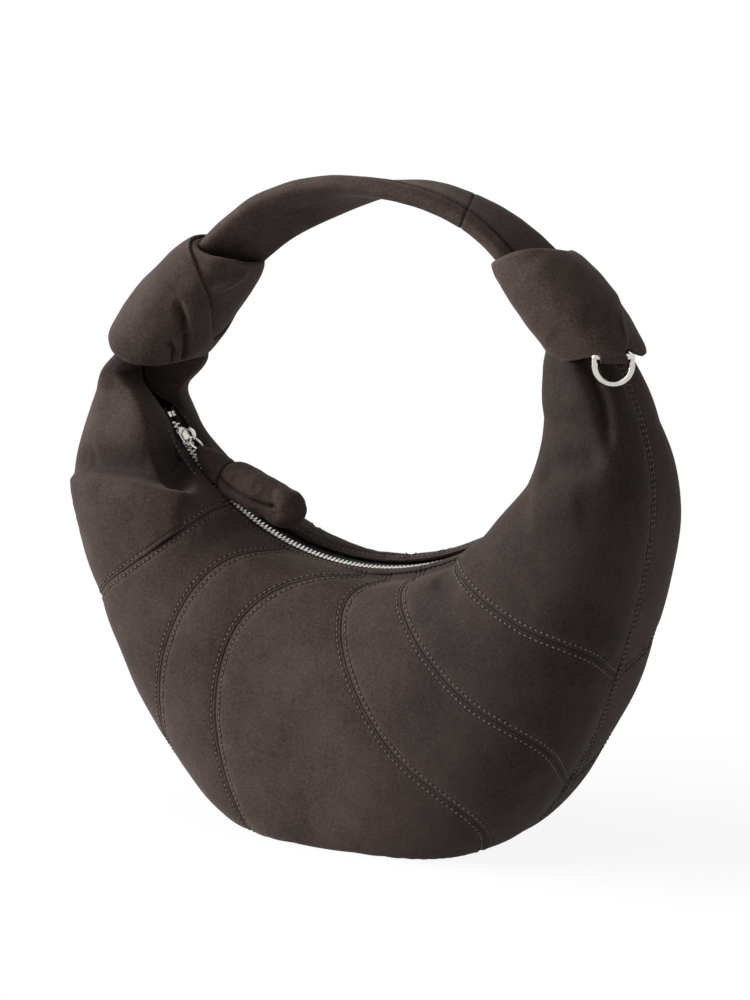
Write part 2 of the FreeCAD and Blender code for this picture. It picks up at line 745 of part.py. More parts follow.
def knot_ring(side, along, half_width, half_depth):
    up, across = knot_axes(side)
    middle = Vector(side * neck_x, 0, neck_height) + up * along
    return oval(middle, across * half_width, Vector(0, half_depth, 0), 0.9)


def knot(side):
    """Knot as a thick wrap: hollow below for the neck, open above for the strap."""
    start, length = size("knot_start"), size("knot_length")
    width, depth = size("knot_half_width"), size("knot_half_depth")
    shares = (0.0, 0.08, 0.25, 0.5, 0.75, 0.93, 1.0)
    fullness = (0.93, 0.97, 1.02, 1.03, 1.0, 0.92, 0.80)
    rings = [knot_ring(side, start + share * length, width * full, depth * full)
             for share, full in zip(shares, fullness)]
    solid = tube_solid(rings).cut(neck_ball(size("neck_gap"), side))
    reach = size("strap_half_angle")
    slot = strap_solid(side * (reach + 0.25), side * (reach - 30), -size("strap_gap"))
    return solid.cut(slot).Solids[0]


reach = size("strap_half_angle")
join = size("strap_join_angle")
split = math.degrees(size("seam_gap") / size("strap_radius"))
wall = size("strap_leather")
hollow = strap_solid(-reach - 1, reach + 1, wall)
solid_piece("strap_left", strap_solid(-reach, join - split / 2, 0).cut(hollow))
solid_piece("strap_right", strap_solid(join + split / 2, reach, 0).cut(hollow))
solid_piece("strap_core", strap_solid(-reach + 1, reach - 1, wall + size("strap_gap")))
solid_piece("knot_left", knot(-1))
solid_piece("knot_right", knot(1))


# D rings, each hung in a leather loop under its knot; the left one is the right one turned half round

def dee_placement(side):
    """Frame at the D ring's bar: x along the bar, y away from the neck, z up."""
    turn = size("dee_turn_angle")
    away = Vector(math.cos(math.radians(turn)), -math.sin(math.radians(turn)), 0)
    spot = Vector(neck_x, 0, size("dee_height")) + away * size("dee_out")
    place = Placement(spot, Rotation(Vector(0, 0, 1), -turn - 90))
    if side < 0:
        place = Placement(Vector(0, 0, 0), Rotation(Vector(0, 0, 1), 180)).multiply(place)
    return place


def ring_tab(side, place):
    """Leather loop round the D ring's bar, in the ring's frame, with a leaf that runs up into the knot."""
    up, across = knot_axes(side)
    turn = math.radians(size("dee_turn_angle"))
    caught = (Vector(side * neck_x, 0, neck_height) + up * (size("knot_start") + size("tab_hold"))
              + across * (size("knot_half_width") * 0.85 * math.cos(turn))
              + Vector(0, -side * size("knot_half_depth") * 0.85 * math.sin(turn), 0))
    target = place.inverse().multVec(caught)
    outer = size("tab_eye") + size("tab_thick")
    width = size("tab_width")
    roll = Part.makeCylinder(outer, width, Vector(-width / 2, 0, 0), Vector(1, 0, 0))
    leaf = Part.makeBox(width, 2 * size("tab_thick"), math.hypot(target.y, target.z),
                        Vector(-width / 2, -size("tab_thick"), 0))
    leaf.rotate(Vector(0, 0, 0), Vector(1, 0, 0), -math.degrees(math.atan2(target.y, target.z)))
    hole = Part.makeCylinder(size("tab_eye"), width + 2, Vector(-width / 2 - 1, 0, 0), Vector(1, 0, 0))
    return roll.fuse(leaf).cut(hole)


for side, end in ((-1, "left"), (1, "right")):
    place = dee_placement(side)
    arc = primitive("Torus", "dee_arc_" + end, Radius1="dee_radius", Radius2="dee_wire", Angle3="180",
                    Placement__Base__z="0 - dee_leg")
    arc.Placement.Rotation = Rotation(Vector(1, 0, 0), -90)
    bar = primitive("Cylinder", "dee_bar_" + end, Radius="dee_wire", Height="dee_radius * 2",
                    Placement__Base__x="0 - dee_radius")
    bar.Placement.Rotation = Rotation(Vector(0, 1, 0), 90)
    sides = []
    for name, spot in (("a", "dee_radius"), ("b", "0 - dee_radius")):
        sides.append(primitive("Sphere", "dee_corner_%s_%s" % (end, name), Radius="dee_wire",
                               Placement__Base__x=spot))
        sides.append(primitive("Cylinder", "dee_leg_%s_%s" % (end, name), Radius="dee_wire", Height="dee_leg",
                               Placement__Base__x=spot, Placement__Base__z="0 - dee_leg"))
    dee = fused("d_ring_" + end, arc, bar, *sides)
    dee.Placement = place
    keep(dee, "d_ring_" + end)

    solid_piece("ring_tab_" + end, ring_tab(side, place), place)


doc.recompute()

faults = []
for thing in doc.Objects:
    if "Invalid" in thing.State or "Error" in thing.State:
        faults.append("%s: %s" % (thing.Label, thing.State))
for thing in nodes:
    if thing.Shape.isNull() or not thing.Shape.isValid() or thing.Shape.Volume <= 0:
        faults.append("%s: shape is not sound" % thing.Label)
if faults:
    raise RuntimeError("; ".join(faults))

os.makedirs("parts", exist_ok=True)
for thing in nodes:
    thing.Shape.exportStep("parts/%s.step" % thing.Label)
    box = thing.Shape.BoundBox
    print("%-20s %8.0f mm3  x %.1f..%.1f  y %.1f..%.1f  z %.1f..%.1f" % (
        thing.Label, thing.Shape.Volume, box.XMin, box.XMax, box.YMin, box.YMax, box.ZMin, box.ZMax))
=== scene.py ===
"""Looks of a half moon shoulder bag in dark brown nubuck with a knotted handle.

Shapes are worked out in millimetres and become metres when a mesh is made. +Z is up and the front is -Y.
A place on the leather is given by an angle from straight down, seen from the middle of the arm hole, and by
how far round the section it is: -1 at the zip, 0 on the rim, 1 on the belly, 2 at the centre seam.
"""

import math

import bpy
import numpy as np
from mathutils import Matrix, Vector


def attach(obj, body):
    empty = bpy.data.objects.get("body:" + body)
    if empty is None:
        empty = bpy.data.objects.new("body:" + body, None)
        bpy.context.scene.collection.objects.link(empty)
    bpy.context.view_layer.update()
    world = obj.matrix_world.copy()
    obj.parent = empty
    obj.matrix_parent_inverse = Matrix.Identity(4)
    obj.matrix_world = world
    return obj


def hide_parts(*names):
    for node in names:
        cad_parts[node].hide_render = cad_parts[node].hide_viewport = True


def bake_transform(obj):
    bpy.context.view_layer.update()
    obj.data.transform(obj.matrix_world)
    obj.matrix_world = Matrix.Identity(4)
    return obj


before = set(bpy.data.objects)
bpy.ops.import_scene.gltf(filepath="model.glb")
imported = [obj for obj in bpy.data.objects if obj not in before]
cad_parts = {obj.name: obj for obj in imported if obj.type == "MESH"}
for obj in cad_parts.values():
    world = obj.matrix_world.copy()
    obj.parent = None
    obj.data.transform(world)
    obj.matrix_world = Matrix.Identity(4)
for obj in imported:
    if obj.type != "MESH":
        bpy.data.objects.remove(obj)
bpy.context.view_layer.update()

MM = 0.001
FRONT, BACK = -1, 1
LEFT, RIGHT = -1, 1
SIDE_NAMES = {LEFT: "left", RIGHT: "right"}
HALF_NAMES = {FRONT: "front", BACK: "back"}

# Outlines of the bag seen from the front: half width, centre height, drop, fullness, rise
OUTER_OUTLINE = (156.0, 172.0, 190.0, 2.06, 165.0)
HOLE_OUTLINE = (112.0, 235.0, 93.0, 2.4, 165.0)
HOLE_HEIGHT = 235.0
ZIP_RADIUS = 135.0
ZIP_CENTRE = 271.0
LIP_LIFT = 2.6
BELLY_PLACE = 0.55
HORN_END = 84.0
NECK_END = 104.0
BASE_SOFTNESS = 2.0
BASE_SAG = 2.5
BASE_SINK = 1.2
LEATHER = 1.5
SKIN_LIFT = 0.8
# Half depth at the ends of the horns, and what the middle has more
HORN_DEPTH, BELLY_SWELL = 15.0, 42.0
# Share of the depth where the rim lies at the middle, and what the horns have more
CREST_SHARE, CREST_RISE = 0.28, 0.17
# Half width of the mouth over the zip, and at its closed ends
MOUTH, MOUTH_CLOSED = 8.0, 1.2
# Powers that round the section: above the belly, below it, and how its places are spread
SHOULDER_ROUND, BELLY_ROUND, PLACE_SPREAD = 0.60, 0.58, 1.4
# Small steps over which directions on the leather are measured
ANGLE_STEP, PLACE_STEP = 0.004, 0.02

# Angle of each seam at the rim, one third, two thirds and the centre seam
SEAMS = {
    1: (-46.0, -46.5, -48.5, -46.0),
    2: (-25.0, -33.5, -28.5, -24.0),
    3: (2.0, -20.5, -14.0, -14.0),
    4: (10.0, 8.0, 20.5, 14.5),
    5: (21.0, 26.0, 34.5, 30.5),
    6: (39.5, 43.5, 49.0, 46.5),
}
PANELS = ("horn_left", "side_left", "mid_left", "centre", "mid_right", "side_right", "horn_right")
STITCH_PITCH = 2.9
STITCH_LIFT = 1.15
STITCH_OFFSET = 2.3
LIP_STITCH_OFFSET = 3.2


# Small helpers for shapes

def smooth(value, low, high):
    """0 below low, 1 above high, eased between."""
    share = np.clip((value - low) / (high - low), 0, 1)
    return share * share * (3 - 2 * share)


def bump(value, middle, width):
    """1 at the middle, fading to 0 over a width."""
    return np.exp(-((value - middle) / width) ** 2)


def signed_power(value, power):
    """Power of a value's size, with the value's sign; below 1 it makes a circle squarer."""
    return np.sign(value) * np.abs(value) ** power


def unit(vectors):
    """Vectors made one long."""
    return vectors / np.maximum(np.linalg.norm(vectors, axis=-1, keepdims=True), 1e-9)


def undulation(points, wave):
    """Slow uneven waves through space, between about -1 and 1."""
    x, y, z = (points[..., n] * (2 * math.pi / wave) for n in range(3))
    first = np.sin(0.9 * x + 0.5 * z + 0.7) * np.sin(0.8 * y - 0.4 * z + 1.9)
    second = np.sin(1.7 * z - 0.6 * x + 0.3) * np.sin(1.3 * x + 0.9 * y + 2.6)
    return 0.6 * first + 0.4 * second


def path_distance(points, path):
    """Offset of points from a line through path points, and how far along it the nearest spot is (0 to 1)."""
    path = np.asarray(path, float)
    steps = np.linalg.norm(np.diff(path, axis=0), axis=1)
    reach = np.concatenate([[0.0], np.cumsum(steps)]) / steps.sum()
    nearest = np.full(points.shape[:-1], 1e9)
    along = np.zeros(points.shape[:-1])
    offset = np.zeros(points.shape)
    for number, start in enumerate(path[:-1]):
        run = path[number + 1] - start
        share = np.clip(((points - start) @ run) / (run @ run), 0, 1)
        gap = points - start - share[..., None] * run
        distance = np.linalg.norm(gap, axis=-1)
        closer = distance < nearest
        nearest = np.where(closer, distance, nearest)
        along = np.where(closer, reach[number] + share * (reach[number + 1] - reach[number]), along)
        offset = np.where(closer[..., None], gap, offset)
    return offset, along


def along_taper(along, fade_start, fade_end):
    """1 in the middle of a line, fading out at both of its ends."""
    return smooth(along, -0.01, fade_start) * (1 - smooth(along, 1 - fade_end, 1.01))


def fold(points, path, width, depth, fade_start=0.25, fade_end=0.25):
    """How far a fold line presses the leather in (negative); a negative depth raises a ridge."""
    offset, along = path_distance(points, path)
    distance = np.linalg.norm(offset, axis=-1)
    return -depth * bump(distance, 0, width) * along_taper(along, fade_start, fade_end)


# A tuck: its roll below and above its line, the hollow behind it, and how it fades at its ends
TUCK_BELOW, TUCK_ABOVE = 20.0, 5.0
TUCK_HOLLOW, TUCK_HOLLOW_WIDTH = 6.0, 13.0
TUCK_FADE = (0.22, 0.06)


def tuck(points, path, up, bulge, sink):
    """A fold where the leather rolls over a line from below and sinks behind it, to come back further up."""
    offset, along = path_distance(points, path)
    above = offset @ unit(np.array(up, float))
    roll = bulge * bump(above, 0, np.where(above < 0, TUCK_BELOW, TUCK_ABOVE))
    behind = sink * (1 - bump(above, 0, TUCK_ABOVE)) * bump(above, TUCK_HOLLOW, TUCK_HOLLOW_WIDTH)
    return (roll - behind * (above > 0)) * along_taper(along, *TUCK_FADE)


# Shape of the bag

BEYOND_THE_BAG = 600.0
HALVINGS = 40


def reach_to(angle, half_width, centre_height, drop, fullness, rise):
    """Distance from the middle of the arm hole to an outline, found by halving."""
    near = np.zeros_like(angle)
    far = np.full_like(angle, BEYOND_THE_BAG)
    for _ in range(HALVINGS):
        middle = (near + far) / 2
        across = np.abs(middle * np.sin(angle)) / half_width
        up = HOLE_HEIGHT - middle * np.cos(angle) - centre_height
        power = np.where(up < 0, fullness, 2.0)
        height = np.abs(up) / np.where(up < 0, drop, rise)
        inside = across ** power + height ** power < 1
        near = np.where(inside, middle, near)
        far = np.where(inside, far, middle)
    return near


EASE_REACH, EASE_WIDTH, EASE_COUNT = 6, 4, 9


def eased(value, table):
    """Value read from a table of (place, value) pairs, with its corners rounded."""
    places, values = np.array(table, float).T
    offsets = np.linspace(-EASE_REACH, EASE_REACH, EASE_COUNT)
    weights = bump(offsets, 0, EASE_WIDTH)
    total = sum(weight * np.interp(value + offset, places, values)
                for weight, offset in zip(weights, offsets))
    return total / weights.sum()


# The open left horn: angle, and the share of the depth where the front rim lies
LEFT_RIM_FORWARD = ((-104, 0.75), (-94, 0.90), (-85, 0.98), (-80, 0.95), (-76, 0.88), (-68, 0.68),
                    (-60, 0.68), (-53, 0.62), (-44, 0.42))
# The same horn: angle, and how far the front rim is turned outwards
LEFT_RIM_OUTWARDS = ((-104, 14.0), (-97, 27.0), (-92, 31.0), (-88, 26.0), (-84, 17.0), (-80, 8.0),
                     (-76, 3.0), (-68, 1.5), (-60, 1.0), (-53, 1.0), (-44, 0.0))
# Swells of the standing bag's outline, or hollows where negative: height, angle of the middle, width
OUTLINE_SWELLS = (
    (5.2, -72, 10),
    (-2.2, -53, 8),
    (-11.0, -38, 13),
    (-4.0, -23, 9),
    (4.8, 75, 14),
    (-2.0, 42, 14),
    (2.6, 24, 8),
)


def outline_slump(degrees):
    """How the outline of the standing bag departs from the even crescent."""
    swells = sum(height * bump(degrees, middle, width) for height, middle, width in OUTLINE_SWELLS)
    drawn_in = 11.0 * smooth(-degrees, 84, 97) + 10.0 * smooth(np.abs(degrees), 96, 104)
    return swells - drawn_in


def section(angle, half):
    """Outer, lip, rim, depth, crest, mouth and roundness of the shoulder of the bag's section at an angle."""
    degrees = np.degrees(angle)
    turn = np.abs(degrees)
    held = np.minimum(turn, HORN_END)
    neck = smooth(turn, 78, 97)
    outer = reach_to(angle, *OUTER_OUTLINE) + outline_slump(degrees) + np.where(angle < 0, 2.5, 1.0) * neck

    # The necks are drawn together towards the knots
    tightened = 1 - 0.2 * smooth(turn, 86, 97) - 0.35 * smooth(turn, 96, 104)
    depth = (HORN_DEPTH + BELLY_SWELL * (1 - (held / 90) ** 4)) * tightened
    crest = (CREST_SHARE + CREST_RISE * (held / HORN_END) ** 2) * depth
    shoulder = np.full_like(angle, SHOULDER_ROUND)

    # Distance to the zip's arc, then the leather edge beside the zip and the rim above it
    lift = ZIP_CENTRE - HOLE_HEIGHT
    across = lift * np.cos(angle)
    chain = np.sqrt(across ** 2 - lift ** 2 + ZIP_RADIUS ** 2) - across
    lip = chain - LIP_LIFT
    rim = np.minimum(reach_to(angle, *HOLE_OUTLINE), lip - 1.5) - 4.5 * neck * (angle > 0)
    lip = np.minimum(lip, rim + 11.5) + 4.0 * smooth(turn, 77, 84)
    deeper = 8.0 * smooth(-degrees, 74, 86)

    if half == FRONT:
        # The front rim is low before the zip, and the left horn is turned open
        low_edge = smooth(degrees, -48, -36) * (1 - smooth(degrees, 36, 47))
        low_right = smooth(degrees, -8, 14) * (1 - smooth(degrees, 35, 45))
        lip = lip + 1.5 * low_edge + deeper
        rim = rim + low_edge * (lip + 1.2 + 5.0 * low_right - rim) + 2.0 * bump(degrees, 60, 12)
        rim = rim + 3.5 * bump(degrees, 47, 7) - 2.0 * bump(degrees, 88, 10)
        open_horn = smooth(-degrees, 38, 50)
        furthest = outer - 9.0 - 7.0 * smooth(turn, 92, 104)
        rim = furthest - np.logaddexp(0, furthest - rim - open_horn * eased(degrees, LEFT_RIM_OUTWARDS))
        crest = crest + open_horn * (eased(degrees, LEFT_RIM_FORWARD) * depth - crest)
    else:
        # The back wall is low behind the left end of the zip
        low_wall = smooth(-degrees, 30, 45) * (1 - smooth(-degrees, 76, 92))
        rim = np.minimum(rim + 4.5 * bump(degrees, 2, 34), lip - 0.8) - 6.5 * bump(degrees, -88, 8)
        rim = rim + low_wall * (lip - 0.8 - rim)
        lip = lip + deeper
        crest = crest * (1 - 0.55 * low_wall)
        shoulder = shoulder + np.maximum(0.5 * low_wall, 0.4 * bump(degrees, 0, 30))
    mouth = np.minimum(MOUTH - (MOUTH - MOUTH_CLOSED) * smooth(turn, 76, 83), 0.8 * crest)
    return outer, lip, rim, depth, crest, mouth, shoulder


def seam_share(place):
    """How far round the section a place is, from 0 at the rim to 1 at the centre seam."""
    upper = 0.5 * np.clip(place, 0, 1) ** PLACE_SPREAD
    lower = 1 - 0.5 * np.clip(2 - place, 0, 1) ** PLACE_SPREAD
    return np.where(place <= 1, upper, lower)


# How fast the section deepens away from the centre seam, as a share of its depth
CENTRE_DEEPENING = 1.3


def place_before_centre(distance, depth):
    """Place that lies a distance before the centre seam, for the section's depth there."""
    return 2 - (distance / (CENTRE_DEEPENING * depth)) ** (1 / (PLACE_SPREAD * BELLY_ROUND))


def raw_point(angle, place, half):
    """Point of the front half; past the centre seam it goes on over the back half."""
    past = place > 2
    place = np.where(past, 4 - place, place)
    outer, lip, rim, depth, crest, mouth, shoulder = section(angle, half)
    turn = math.pi * seam_share(place)
    span = outer - rim
    lip_share = np.clip(1 + place, 0, 1)
    sine = np.maximum(np.sin(turn), 0)
    lip_reach = lip - (lip - rim) * np.sin(lip_share * math.pi / 2)
    upper_reach = rim + span * BELLY_PLACE * (1 - np.cos(turn))
    lower_reach = rim + span * (BELLY_PLACE - (1 - BELLY_PLACE) * np.cos(turn))
    radius = np.where(place <= 0, lip_reach, np.where(place <= 1, upper_reach, lower_reach))
    lip_depth = mouth + (crest - mouth) * lip_share
    upper_depth = crest + (depth - crest) * sine ** shoulder
    sag = BASE_SAG * (1 - smooth(np.abs(np.degrees(angle)), 20, 40)) * bump(place, 1.5, 0.28) * (place > 1)
    lower_depth = depth * sine ** BELLY_ROUND + sag * sine
    y = -np.where(place <= 0, lip_depth, np.where(place <= 1, upper_depth, lower_depth))
    y = np.where(past, -y, y)
    return np.stack([radius * np.sin(angle), y, HOLE_HEIGHT - radius * np.cos(angle)], -1)


def angle_run(angle, place, half):
    """Way between two points of the leather a little to the left and to the right."""
    return raw_point(angle + ANGLE_STEP, place, half) - raw_point(angle - ANGLE_STEP, place, half)


def outward(angle, place, half):
    """Direction straight out of the leather of the front half."""
    before = np.maximum(place - PLACE_STEP, -1)
    around = raw_point(angle, place + PLACE_STEP, half) - raw_point(angle, before, half)
    return unit(np.cross(around, angle_run(angle, place, half)))


def floored(points, floor):
    """Points eased up to a floor, so that the base is flat with a soft edge."""
    rise = (points[..., 2] - floor) / BASE_SOFTNESS
    height = floor + BASE_SOFTNESS * np.logaddexp(0, rise)
    return np.concatenate([points[..., :2], np.maximum(height, 0.0)[..., None]], -1)


def on_half(points, half):
    """Points worked out for the front half, moved to the half they belong to."""
    return points * np.array([1.0, -half, 1.0])


def seam_angle(seam, place):
    """Angle of a seam at a place; 0 and 7 are the ends of the horns inside the knots."""
    if seam not in SEAMS:
        return np.full_like(place, math.radians(NECK_END) * (-1 if seam == 0 else 1))
    share = seam_share(np.minimum(place, 4 - place))
    stops = (0.0, 1 / 3, 2 / 3, 1.0)
    total = np.zeros_like(place)
    for stop, value in zip(stops, SEAMS[seam]):
        weight = np.ones_like(place)
        for other in stops:
            if other != stop:
                weight = weight * (share - other) / (stop - other)
        total = total + weight * value
    return np.radians(total)


def centre_shift(angle, half):
    """How far before the middle plane, in places, a half ends; on the right the centre seam lies in front."""
    forward = 0.10 * smooth(np.degrees(angle), 25, 55)
    return forward if half == FRONT else -forward


def shifted(place, angle, half):
    """Places drawn along with the centre seam, more and more towards it."""
    return place - smooth(place, 1.2, 2.0) ** 2 * centre_shift(angle, half)


def seam_scale(seam, place, half):
    """Millimetres straight across a seam for each radian, along its length."""
    before = np.maximum(place - PLACE_STEP / 2, -1)
    after = place + PLACE_STEP / 2
    run = raw_point(seam_angle(seam, after), after, half) - raw_point(seam_angle(seam, before), before, half)
    across = angle_run(seam_angle(seam, place), place, half) / (2 * ANGLE_STEP)
    return np.linalg.norm(np.cross(across, unit(run)), axis=-1)


def bag_spot(degrees, place, half):
    """Point of the leather at an angle in degrees, worked out as if on the front."""
    return raw_point(np.array(math.radians(degrees)), np.array(float(place)), half)


# Soft folds of the leather: panel, half, path of (angle, place), width, depth
FOLDS = (
    ("horn_left", BACK, ((-74, 1.3), (-71, 0.8), (-66, 0.4)), 12.0, 3.0),
    ("horn_right", FRONT, ((104, 1.16), (95, 1.22), (89, 1.28), (80, 1.28)), 2.6, 5.5),
    ("horn_right", FRONT, ((104, 0.95), (95, 1.0), (87, 1.08)), 7.0, -1.6),
    ("horn_right", FRONT, ((71, 0.45), (75, 0.75), (78, 1.0), (80, 1.25)), 8.0, 3.2),
    ("horn_right", FRONT, ((64, 0.6), (68, 0.85), (71, 1.1)), 10.0, -2.4),
    ("horn_right", BACK, ((104, 1.1), (95, 1.15), (84, 1.2)), 4.5, 4.0),
    ("horn_right", BACK, ((70, 0.4), (74, 0.8), (77, 1.2)), 8.0, 2.2),
    ("side_right", FRONT, ((31, 0.30), (36, 0.46), (41, 0.58)), 5.0, 2.6),
    ("mid_left", BACK, ((-20, 0.3), (-24, 0.5)), 5.0, 1.4),
)
# The left horn folds over above this line, in this direction; how far it bulges and sinks
LEFT_TUCK = ((-68, 1.55), (-68, 1.30), (-65.9, 1.02), (-61.4, 0.72), (-56.3, 0.48), (-51, 0.22))
LEFT_TUCK_UP, LEFT_TUCK_BULGE, LEFT_TUCK_SINK = (-0.3, 0, 0.95), 3.8, 10.0


def soft_folds(raw, half, names=PANELS):
    """How far the folds on the named panels push the leather out."""
    push = np.zeros(raw.shape[:-1])
    for panel_name, fold_half, path, width, depth in FOLDS:
        if panel_name in names and fold_half == half:
            push = push + fold(raw, [bag_spot(*spot, half) for spot in path], width, depth)
    if "horn_left" in names and half == FRONT:
        path = [bag_spot(*spot, half) for spot in LEFT_TUCK]
        push = push + tuck(raw, path, LEFT_TUCK_UP, LEFT_TUCK_BULGE, LEFT_TUCK_SINK)
    return push


# Meshes

def deselect():
    """Back to object mode with nothing selected."""
    if bpy.context.object and bpy.context.object.mode != "OBJECT":
        bpy.ops.object.mode_set(mode="OBJECT")
    bpy.ops.object.select_all(action="DESELECT")


def pick(piece):
    """Select one piece alone and make it the active one."""
    deselect()
    piece.select_set(True)
    bpy.context.view_layer.objects.active = piece


def edit(piece, *steps):
    """Run edit mode operators on the whole of a piece."""
    pick(piece)
    bpy.ops.object.mode_set(mode="EDIT")
    bpy.ops.mesh.select_all(action="SELECT")
    for step in steps:
        step()
    bpy.ops.object.mode_set(mode="OBJECT")


def merge():
    """Merge the points that lie on each other."""
    bpy.ops.mesh.remove_doubles(threshold=0.000002)


def face_out():
    """Turn all faces outwards."""
    bpy.ops.mesh.normals_make_consistent(inside=False)


def apply(piece, kind, **settings):
    """Add a modifier to a piece and apply it."""
    pick(piece)
    modifier = piece.modifiers.new(kind.lower(), kind)
    for name, value in settings.items():
        setattr(modifier, name, value)
    bpy.ops.object.modifier_apply(modifier=modifier.name)


def corners(piece):
    """Corner points of a piece's mesh."""
    return np.array([vertex.co for vertex in piece.data.vertices])


def set_corners(piece, points):
    """Put the corner points of a piece's mesh at points in millimetres."""
    piece.data.vertices.foreach_set("co", (points * MM).astype(np.float32).ravel())


def new_block():
    """Cube primitive of size 1 in the middle of the frame."""
    deselect()
    bpy.ops.mesh.primitive_cube_add(size=1)
    return bpy.context.object


def as_pattern(piece):
    """Points and faces of a shape that is modelled once and copied; the piece itself goes."""
    points = corners(piece)
    faces = [list(polygon.vertices) for polygon in piece.data.polygons]
    bpy.data.objects.remove(piece)
    return points, faces


def copied(name, pattern, places):
    """Mesh of copies of a pattern, each put at a place of middle, along, across and up."""
    points, shape_faces = pattern
    vertices, faces = [], []
    for middle, along, across, up in places:
        copy = middle + points[:, :1] * along + points[:, 1:2] * across + points[:, 2:] * up
        start = len(vertices)
        vertices.extend(copy * MM)
        faces.extend([[start + n for n in face] for face in shape_faces])
    mesh = bpy.data.meshes.new(name)
    mesh.from_pydata(vertices, [], faces)
    piece = bpy.data.objects.new(name, mesh)
    bpy.context.scene.collection.objects.link(piece)
    edit(piece, face_out)
    return piece


def laid_grid(name, points, **marks):
    """Grid primitive laid on rows of points; marks are named values for each point."""
    rows, columns = points.shape[:2]
    deselect()
    bpy.ops.mesh.primitive_grid_add(x_subdivisions=columns - 1, y_subdivisions=rows - 1, size=1)
    piece = bpy.context.object
    piece.name = name
    piece.data.name = name
    set_corners(piece, points)
    for mark, values in marks.items():
        layer = piece.data.attributes.new(mark, "FLOAT", "POINT")
        layer.data.foreach_set("value", np.broadcast_to(values, (rows, columns)).astype(np.float32).ravel())
    piece.data.update()
    return piece


def capped(rings):
    """Rings with both ends closed by smaller rings and a middle point."""
    ends = []
    for ring in (rings[0], rings[-1]):
        middle = ring.mean(axis=0)
        ends.append([middle + (ring - middle) * share for share in (0.0, 0.5)])
    return np.concatenate([np.array(ends[0]), rings, np.array(ends[1][::-1])])


def closed_rings(rings):
    """Each ring with its first point again at its end."""
    return np.concatenate([rings, rings[:, :1]], axis=1)


def tube(name, rings, caps=True, **marks):
    """Closed tube through rings of points."""
    def with_ends(values):
        """Marks of the rings, also for the points that the caps and the closing of the rings add."""
        values = np.broadcast_to(values, rings.shape[:2])
        if caps:
            values = np.concatenate([values[:1], values[:1], values, values[-1:], values[-1:]])
        return np.concatenate([values, values[:, :1]], axis=1)

    grid = closed_rings(capped(rings) if caps else rings)
    piece = laid_grid(name, grid, **{mark: with_ends(values) for mark, values in marks.items()})
    edit(piece, merge, face_out)
    return piece


def smooth_shaded(piece, angle=None):
    """Shade a piece smooth, but not over edges sharper than an angle in degrees where one is given."""
    pick(piece)
    if angle is None:
        bpy.ops.object.shade_smooth()
    else:
        bpy.ops.object.shade_smooth_by_angle(angle=math.radians(angle))


def dressed(piece, material, body=None, replaced=(), sharp=None):
    """Give a piece its shading, finish, body and the solids that it stands for."""
    smooth_shaded(piece, sharp)
    piece.data.materials.clear()
    piece.data.materials.append(material)
    if body:
        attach(piece, body)
    if replaced:
        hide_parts(*replaced)
    return piece


def finish_node(name, material):
    """Give a solid that stays in view its finish."""
    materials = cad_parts[name].data.materials
    materials.clear()
    materials.append(material)


# Finishes

def add_node(tree, kind, inputs=None, **settings):
    """Node with its settings; an input is a value or the socket that feeds it."""
    made = tree.nodes.new(kind)
    for name, value in settings.items():
        setattr(made, name, value)
    for name, value in (inputs or {}).items():
        if isinstance(value, bpy.types.NodeSocket):
            tree.links.new(value, made.inputs[name])
        else:
            made.inputs[name].default_value = value
    return made


def math_node(tree, operation, first, second=0.0, clamp=False):
    """Result of one operation on two values or sockets."""
    made = add_node(tree, "ShaderNodeMath", {0: first, 1: second}, operation=operation, use_clamp=clamp)
    return made.outputs[0]


def times(tree, first, second, clamp=False):
    """Product of two values or sockets."""
    return math_node(tree, "MULTIPLY", first, second, clamp)


def plus(tree, first, second, clamp=False):
    """Sum of two values or sockets."""
    return math_node(tree, "ADD", first, second, clamp)


def about_zero(tree, value, middle=0.5):
    """A value moved so that its middle is 0."""
    return math_node(tree, "SUBTRACT", value, middle)


def point_mark(tree, name):
    """Value that the points of a mesh carry."""
    return add_node(tree, "ShaderNodeAttribute", attribute_name=name).outputs["Fac"]


def toned(colour, share):
    """A colour made darker or paler."""
    return tuple(share * value for value in colour[:3]) + (1.0,)


def colour_mix(tree, share, first, second, blend="MIX"):
    """Mix of two colours; sockets 6 and 7 of the node are its colour inputs."""
    return add_node(tree, "ShaderNodeMix", {0: share, 6: first, 7: second}, data_type="RGBA",
                    blend_type=blend).outputs[2]


def noise(tree, place, scale, detail=2.0, roughness=0.5):
    """Cloudy pattern from 0 to 1."""
    return add_node(tree, "ShaderNodeTexNoise", {"Vector": place, "Scale": scale, "Detail": detail,
                                                 "Roughness": roughness}).outputs["Fac"]


def new_group(name, inputs, outputs):
    """Node group with float inputs (and a Vector) and float outputs; returns tree, input and output nodes."""
    tree = bpy.data.node_groups.new(name, "ShaderNodeTree")
    tree.interface.new_socket("Vector", in_out="INPUT", socket_type="NodeSocketVector")
    for socket, value in inputs.items():
        made = tree.interface.new_socket(socket, in_out="INPUT", socket_type="NodeSocketFloat")
        made.default_value = value
    for socket in outputs:
        tree.interface.new_socket(socket, in_out="OUTPUT", socket_type="NodeSocketFloat")
    return tree, tree.nodes.new("NodeGroupInput"), tree.nodes.new("NodeGroupOutput")


